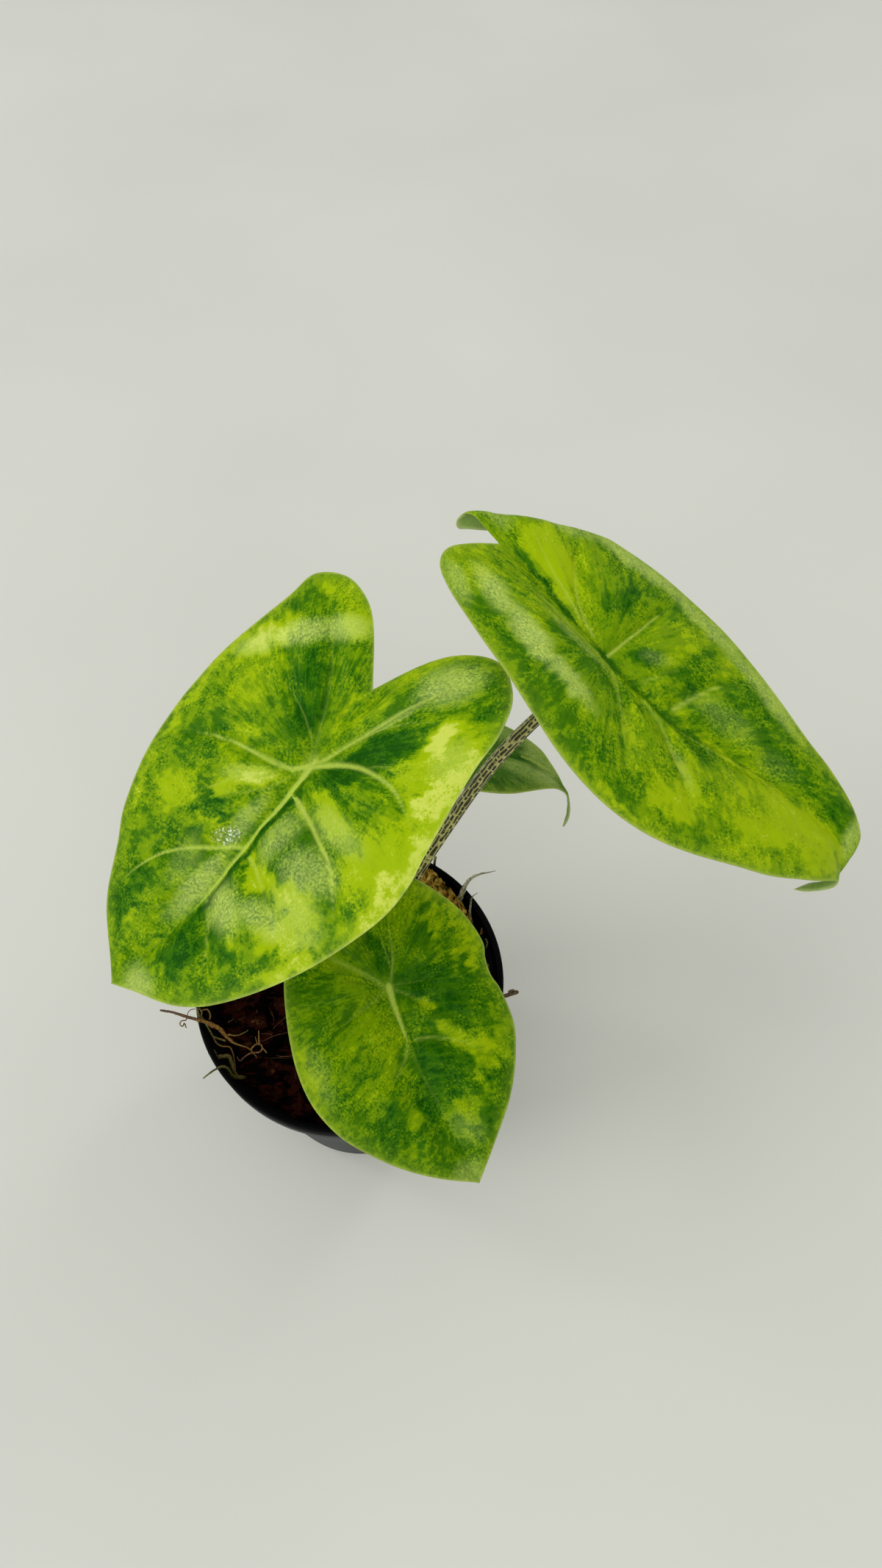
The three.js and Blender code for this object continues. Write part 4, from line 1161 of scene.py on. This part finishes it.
def makeMoss():
    parts = []
    for index, lump in enumerate(mossLook["lumps"]):
        bpy.ops.mesh.primitive_uv_sphere_add(segments=64, ring_count=40, radius=1)
        ball = bpy.context.object
        points = corners(ball.data)
        swells = np.array([noise.fractal(tuple(point * 3 + index), 0.7, 2, 4) for point in points])
        tufts = 1 + mossLook["tufted"] * swells
        moveTo(ball, points * tufts[:, None] * mossLook["core"] * lump["size"] + lump["at"])

        def onLump(draw):
            way = Vector((draw.gauss(0, 1), draw.gauss(0, 1), abs(draw.gauss(0, 1)))).normalized()
            places = zip(lump["at"], lump["size"], way)
            return [at + half * part * mossLook["sunk"] for at, half, part in places], way

        parts += [ball, tangle("tuft" + str(index), mossLook["kinds"], mossLook["threads"], onLump)]
    moss = joinedAs("mossClump", parts)
    points = corners(moss.data) / mm
    far = np.hypot(points[:, 0], points[:, 1])
    points[:, :2] *= np.minimum(1, mossLook["reach"] / far)[:, None]
    moveTo(moss, points)
    moss.data.materials.append(fibreMaterial("drySphagnum", (58, 36, 4), (160, 122, 30), (212, 194, 106)))
    smooth(moss)
    finish(moss, "moss", "moss_clump")


makeMoss()
print("moss done")


# Roots: each run starts with its two widths and its two shades, from 0 for dark brown over
# reddish, tan and olive to 1 for cream

rootSides = 12
rootSteps = 40
rootLumps = 0.28  # how uneven a root is, as a share of its width
roots = {
    "roots_left": {
        "piece": "rootsLeft", "slot": "root_tan",
        "runs": [
            (0.9, 0.25, 0.5, 0.6,
             [(-38.2, -12.5, 72.4), (-36.5, -12.5, 71.6), (-34.6, -12.8, 70.4), (-32.9, -13.3, 69),
              (-31.2, -14.6, 67.4), (-29.9, -15.9, 66.4), (-27.7, -16.6, 65.4), (-26, -17, 65),
              (-24.8, -17.7, 64.6), (-23, -19.5, 63.6)]),
            (1.3, 0.7, 0.48, 0.5,
             [(-35.5, -12.7, 70.6), (-32.9, -13.3, 68.9), (-31, -14.9, 67.2), (-29.3, -16.1, 66)]),
            (0.5, 0.9, 0.05, 0.2,
             [(-47.4, -10.1, 73), (-43.8, -10.9, 73.4), (-40.6, -11.8, 73), (-36.6, -12.5, 71.8)]),
            (0.3, 0.3, 0.2, 0.9,
             [(-40.4, -11.8, 72.8), (-40.5, -12.6, 72.6), (-41.5, -12.9, 72.8), (-41.8, -13.8, 73),
              (-41, -14.5, 73.2), (-40.7, -13.6, 73), (-40.1, -14.8, 72.8)]),
            (0.2, 0.2, 0.1, 0.2,
             [(-40.3, -11.6, 72.8), (-40, -10.9, 73.4), (-39.4, -10.3, 73.6), (-38.4, -9.8, 73)]),
            (0.55, 0.6, 0.9, 0.6,
             [(-38.4, -9.1, 71.5), (-37.8, -10.5, 72), (-37.3, -11.6, 71.8), (-36.2, -12, 70.5)]),
            (0.4, 0.4, 0.7, 0.6,
             [(-37.9, -8.9, 71), (-37, -10.1, 71.6), (-37, -11.2, 71.6), (-36.6, -11.7, 71)]),
            (0.35, 0.4, 0.6, 0.6,
             [(-37.3, -9.2, 70.5), (-35.9, -9, 70.4), (-35.1, -10.3, 70), (-35.3, -11.4, 69.4)]),
            (0.45, 0.25, 0.5, 0.8,
             [(-30.7, -14.5, 67.4), (-28.7, -14.5, 66.6), (-27.1, -13.7, 66), (-25.8, -12.7, 65.6)]),
            (0.4, 0.55, 0.85, 0.6,
             [(-35.9, -12.7, 70.6), (-35, -14, 69), (-34.2, -15.2, 68), (-32.7, -15.6, 67.4),
              (-31, -16.1, 67)]),
            (0.35, 0.35, 0.6, 0.2,
             [(-34.2, -15.2, 68), (-33.4, -16.5, 67), (-32.1, -17.1, 66.2), (-30.2, -17.1, 65.4),
              (-29.4, -18.4, 64.6), (-28.9, -20.3, 63.8), (-28.5, -22.7, 63)]),
            (0.4, 0.35, 0.5, 0.2,
             [(-24.9, -17.9, 64.8), (-24.3, -17.1, 65.4), (-23.3, -16.5, 65.8), (-22.2, -16.6, 65.6),
              (-21.9, -17.5, 65.2), (-22.6, -18.2, 64.8), (-23.8, -18.3, 64.6), (-25, -18.4, 64.4),
              (-26.3, -19.1, 64), (-27.6, -20, 63.4), (-28.6, -18.7, 63)]),
            (0.5, 0.25, 0.4, 0.5, [(-22.6, -16.7, 65.6), (-22.8, -15.2, 66.2), (-23, -13.1, 66.6)]),
            (0.35, 0.15, 0.4, 0.9, [(-23.1, -16.5, 65.8), (-23.7, -14.8, 66.6)]),
            (0.3, 0.35, 0.3, 0.5, [(-22, -17.1, 65.4), (-20.6, -18.5, 65)]),
            (1.3, 0.8, 0.7, 0.72,
             [(-34.6, -19.9, 69.6), (-33.5, -19.6, 68.6), (-32.9, -20.6, 67.6), (-31.5, -20, 66.8),
              (-30, -19.8, 66), (-29.4, -21, 65), (-28.7, -22.8, 64), (-28, -23.8, 62.6)]),
            (1.1, 0.6, 0.75, 0.6, [(-33.6, -19.8, 68.6), (-33.3, -21.1, 67.8), (-32.4, -22, 66.8)]),
        ],
    },
    "roots_left_low": {
        "piece": "rootsLeftLow", "slot": "root_tan",
        "runs": [
            (0.3, 1.2, 0.85, 0.7,
             [(-34.5, -27.8, 73), (-33.1, -26.5, 73), (-31.9, -25.3, 72.4), (-30.5, -23.8, 70.4),
              (-29.5, -23.6, 68), (-29, -24.3, 66), (-28.3, -24.4, 64), (-26.2, -23.4, 60.5)]),
            (0.5, 0.4, 0.6, 0.4, [(-29, -24.3, 66), (-29.5, -24.9, 65), (-29.9, -25.4, 64)]),
        ],
    },
    "roots_right": {
        "piece": "rootsRight", "slot": "root_pale",
        "runs": [
            (0.15, 1.2, 0.9, 1,
             [(38.4, 27, 78), (36.3, 26.7, 77.6), (34, 26.5, 77), (31.8, 26, 75.6), (30.5, 25.7, 73),
              (29.9, 25, 71.6)]),
            (1.2, 2.2, 0.95, 0.82,
             [(30.5, 25.7, 73), (29.9, 25, 71.6), (29.2, 23.8, 70), (28.6, 22.9, 68), (28.2, 22.2, 66),
              (28, 22, 61)]),
            (1.2, 1.2, 0.85, 0.8, [(29, 23.6, 69.4), (27.6, 23.4, 67), (26.8, 22.6, 64), (26, 22, 61)]),
            (0.2, 1.2, 0.9, 0.95,
             [(33.6, 21.5, 76), (32.3, 21.1, 75), (31.8, 20.5, 74), (31.6, 19.8, 71.6),
              (31.5, 19.3, 68), (31.9, 19.1, 64), (32.2, 19.1, 60)]),
            (1.1, 0.7, 0.5, 0.5, [(35.6, 17.4, 66.5), (35.2, 16.3, 65.6), (34.4, 15.1, 61)]),
            (0.4, 0.4, 0.9, 0.8, [(35.8, 13.2, 65), (36.2, 11.9, 65.2), (35.8, 11.2, 61)]),
            (0.6, 0.8, 0.8, 0.8, [(36.1, 5.8, 65), (36.2, 4.7, 65.2), (35.6, 3.9, 61)]),
            (1, 0.6, 0.5, 0.9, [(21, 33, 62), (21.8, 34.3, 67), (22, 34.6, 70), (22.3, 34.6, 72)]),
        ],
    },
    "root_stub_right": {
        "piece": "rootStub", "slot": "root_dark",
        "runs": [
            (1.1, 1, 0, 0.05,
             [(43.6, -5.4, 73.6), (41.9, -5.8, 73.2), (40.2, -6.1, 72.6), (38, -6.3, 71.9),
              (36.2, -6, 69.4), (34.4, -5.2, 65), (33, -4.6, 59.5)]),
            (0.8, 0.5, 0, 0.1, [(41.6, -5.9, 73.2), (41.1, -5.5, 73.8), (42.4, -5.1, 74)]),
        ],
    },
}


def rootSkin():
    material, shader, wire = newMaterial("rootSkin", Roughness=0.7, Specular_IOR_Level=0.3)
    place = placeIn(wire)
    patch = place.noise(0.9, 3, 0.6)
    grain = place.noise(3, 4, 0.65)
    shade = painted(wire, "shade") + (patch - 0.5) * 0.3
    colour = shade.ramp([(0, srgb(104, 84, 60)), (0.25, srgb(112, 72, 46)), (0.5, srgb(150, 108, 44)),
                         (0.75, srgb(92, 88, 30)), (0.86, srgb(120, 114, 62)), (1, srgb(206, 204, 176))])
    plug(colour.blend(srgb(30, 19, 8), grain.rise(0.42, 0.62) * 0.75), shader, "Base Color")
    bump(grain, shader, 0.7, 0.2)
    return material


def makeRoots(node, look):
    rods = []
    shares = np.linspace(0, 1, rootSteps + 1)
    for index, (firstWidth, lastWidth, firstShade, lastShade, route) in enumerate(look["runs"]):
        def knobbly(share, turn):
            plain = (firstWidth + (lastWidth - firstWidth) * share) / 2
            lumps = [noise.noise((14 * part, math.cos(angle), math.sin(angle) + 5 * index))
                     for part, angle in zip(share, turn)]
            return plain * (1 + rootLumps * np.array(lumps))

        rod = tube("root" + str(index), route, knobbly, rootSides, rootSteps)
        centres = throughPoints(route, shares)[0]
        off = np.linalg.norm(corners(rod.data)[:, None] / mm - centres, axis=2)
        paint(rod, "shade", firstShade + (lastShade - firstShade) * shares[off.argmin(axis=1)])
        rods.append(rod)
    made = joinedAs(look["piece"], rods)
    made.data.materials.append(rootMaterial)
    smooth(made)
    finish(made, look["slot"], node)


rootMaterial = rootSkin()
for rootNode, rootLook in roots.items():
    makeRoots(rootNode, rootLook)
print("roots done")


# Crown: a short stem with papery sheaths round the stalks

crownLook = {
    "at": (4, 5.5), "folds": 9, "foldDepth": 0.05, "sides": 72, "rings": 40,
    "profile": [(0, 48.2), (6.2, 48.2), (8, 54), (8.2, 61), (6.9, 66), (5.6, 68.6), (0, 69)],
}


def makeCrown():
    rings = crownLook["rings"]
    stem, u, v = gridSheet("crownStem", crownLook["sides"], rings)
    outline = throughPoints(crownLook["profile"], np.linspace(0, 1, rings + 1))[0]
    radius, height = outline[np.rint(v * rings).astype(int)].T
    turn = 2 * np.pi * u
    depth = crownLook["foldDepth"] * np.clip(radius / 4, 0, 1)
    folds = 1 + depth * np.sin(crownLook["folds"] * turn + 0.12 * height)
    x = crownLook["at"][0] + radius * folds * np.cos(turn)
    y = crownLook["at"][1] + radius * folds * np.sin(turn)
    moveTo(stem, np.stack([x, y, height], -1))
    closed(stem)
    stem.data.materials.append(fibreMaterial("crownSheath", (84, 70, 34), (140, 128, 74), (184, 176, 122)))
    smooth(stem)
    finish(stem, "crown", "crown")


makeCrown()
print("crown done")


# Floor, light and camera

stageLook = {
    "floor": srgb(220, 221, 213), "room": srgb(252, 252, 248), "roomStrength": 0.57,
    "middle": (0.01, 0.01, 0.1), "lampDistance": 2.4,  # metres: what the lamps face, and how far off
    "lamps": [  # name, azimuth from behind the plant round its right, elevation, size in metres, power
        ("leftWindow", -104, 36, (0.9, 1.5), 14),
        ("leftStrip", -72, 36, (0.35, 1), 4.5),
        ("rightStrip", 48, 43, (0.35, 0.9), 4),
        ("roomLight", 178, 62, (1.8, 1.8), 13),
    ],
    "camera": (0.0237, -0.1124, 0.3383), "lookDown": 57.33,  # metres, degrees
    "focalLength": 1500, "imageHeight": 2133,  # pixels
}


def makeFloor():
    bpy.ops.mesh.primitive_plane_add(size=8)
    floor = bpy.context.object
    floor.name = "paleFloor"
    material, shader, wire = newMaterial("paleFloor", Roughness=0.85, Specular_IOR_Level=0.2)
    cloud = placeIn(wire).noise(0.004, 3, 0.5)
    darker = (*[part * 0.94 for part in stageLook["floor"][:3]], 1)
    plug(cloud.ramp([(0.35, darker), (0.65, stageLook["floor"])]), shader, "Base Color")
    floor.data.materials.append(material)


def softLight(name, azimuth, elevation, size, power):  # a lamp that faces the plant
    turn, lift = math.radians(azimuth), math.radians(elevation)
    away = Vector((math.sin(turn) * math.cos(lift), math.cos(turn) * math.cos(lift), math.sin(lift)))
    lamp = bpy.data.lights.new(name, "AREA")
    lamp.shape = "RECTANGLE"
    lamp.size, lamp.size_y = size
    lamp.energy = power
    holder = bpy.data.objects.new(name, lamp)
    bpy.context.scene.collection.objects.link(holder)
    holder.location = Vector(stageLook["middle"]) + away * stageLook["lampDistance"]
    holder.rotation_euler = away.to_track_quat("Z", "Y").to_euler()


def makeWorld():
    world = bpy.data.worlds.new("paleRoom")
    world.use_nodes = True
    background = world.node_tree.nodes["Background"]
    background.inputs["Color"].default_value = stageLook["room"]
    background.inputs["Strength"].default_value = stageLook["roomStrength"]
    bpy.context.scene.world = world


def makeCamera():
    camera = bpy.data.cameras.new("camera")
    camera.sensor_fit = "VERTICAL"
    camera.sensor_height = 36
    camera.lens = camera.sensor_height * stageLook["focalLength"] / stageLook["imageHeight"]
    holder = bpy.data.objects.new("camera", camera)
    bpy.context.scene.collection.objects.link(holder)
    holder.location = stageLook["camera"]
    holder.rotation_euler = (math.radians(90 - stageLook["lookDown"]), 0, 0)
    bpy.context.scene.camera = holder


makeFloor()
for lamp in stageLook["lamps"]:
    softLight(*lamp)
makeWorld()
makeCamera()
bpy.context.scene.view_settings.view_transform = "Standard"
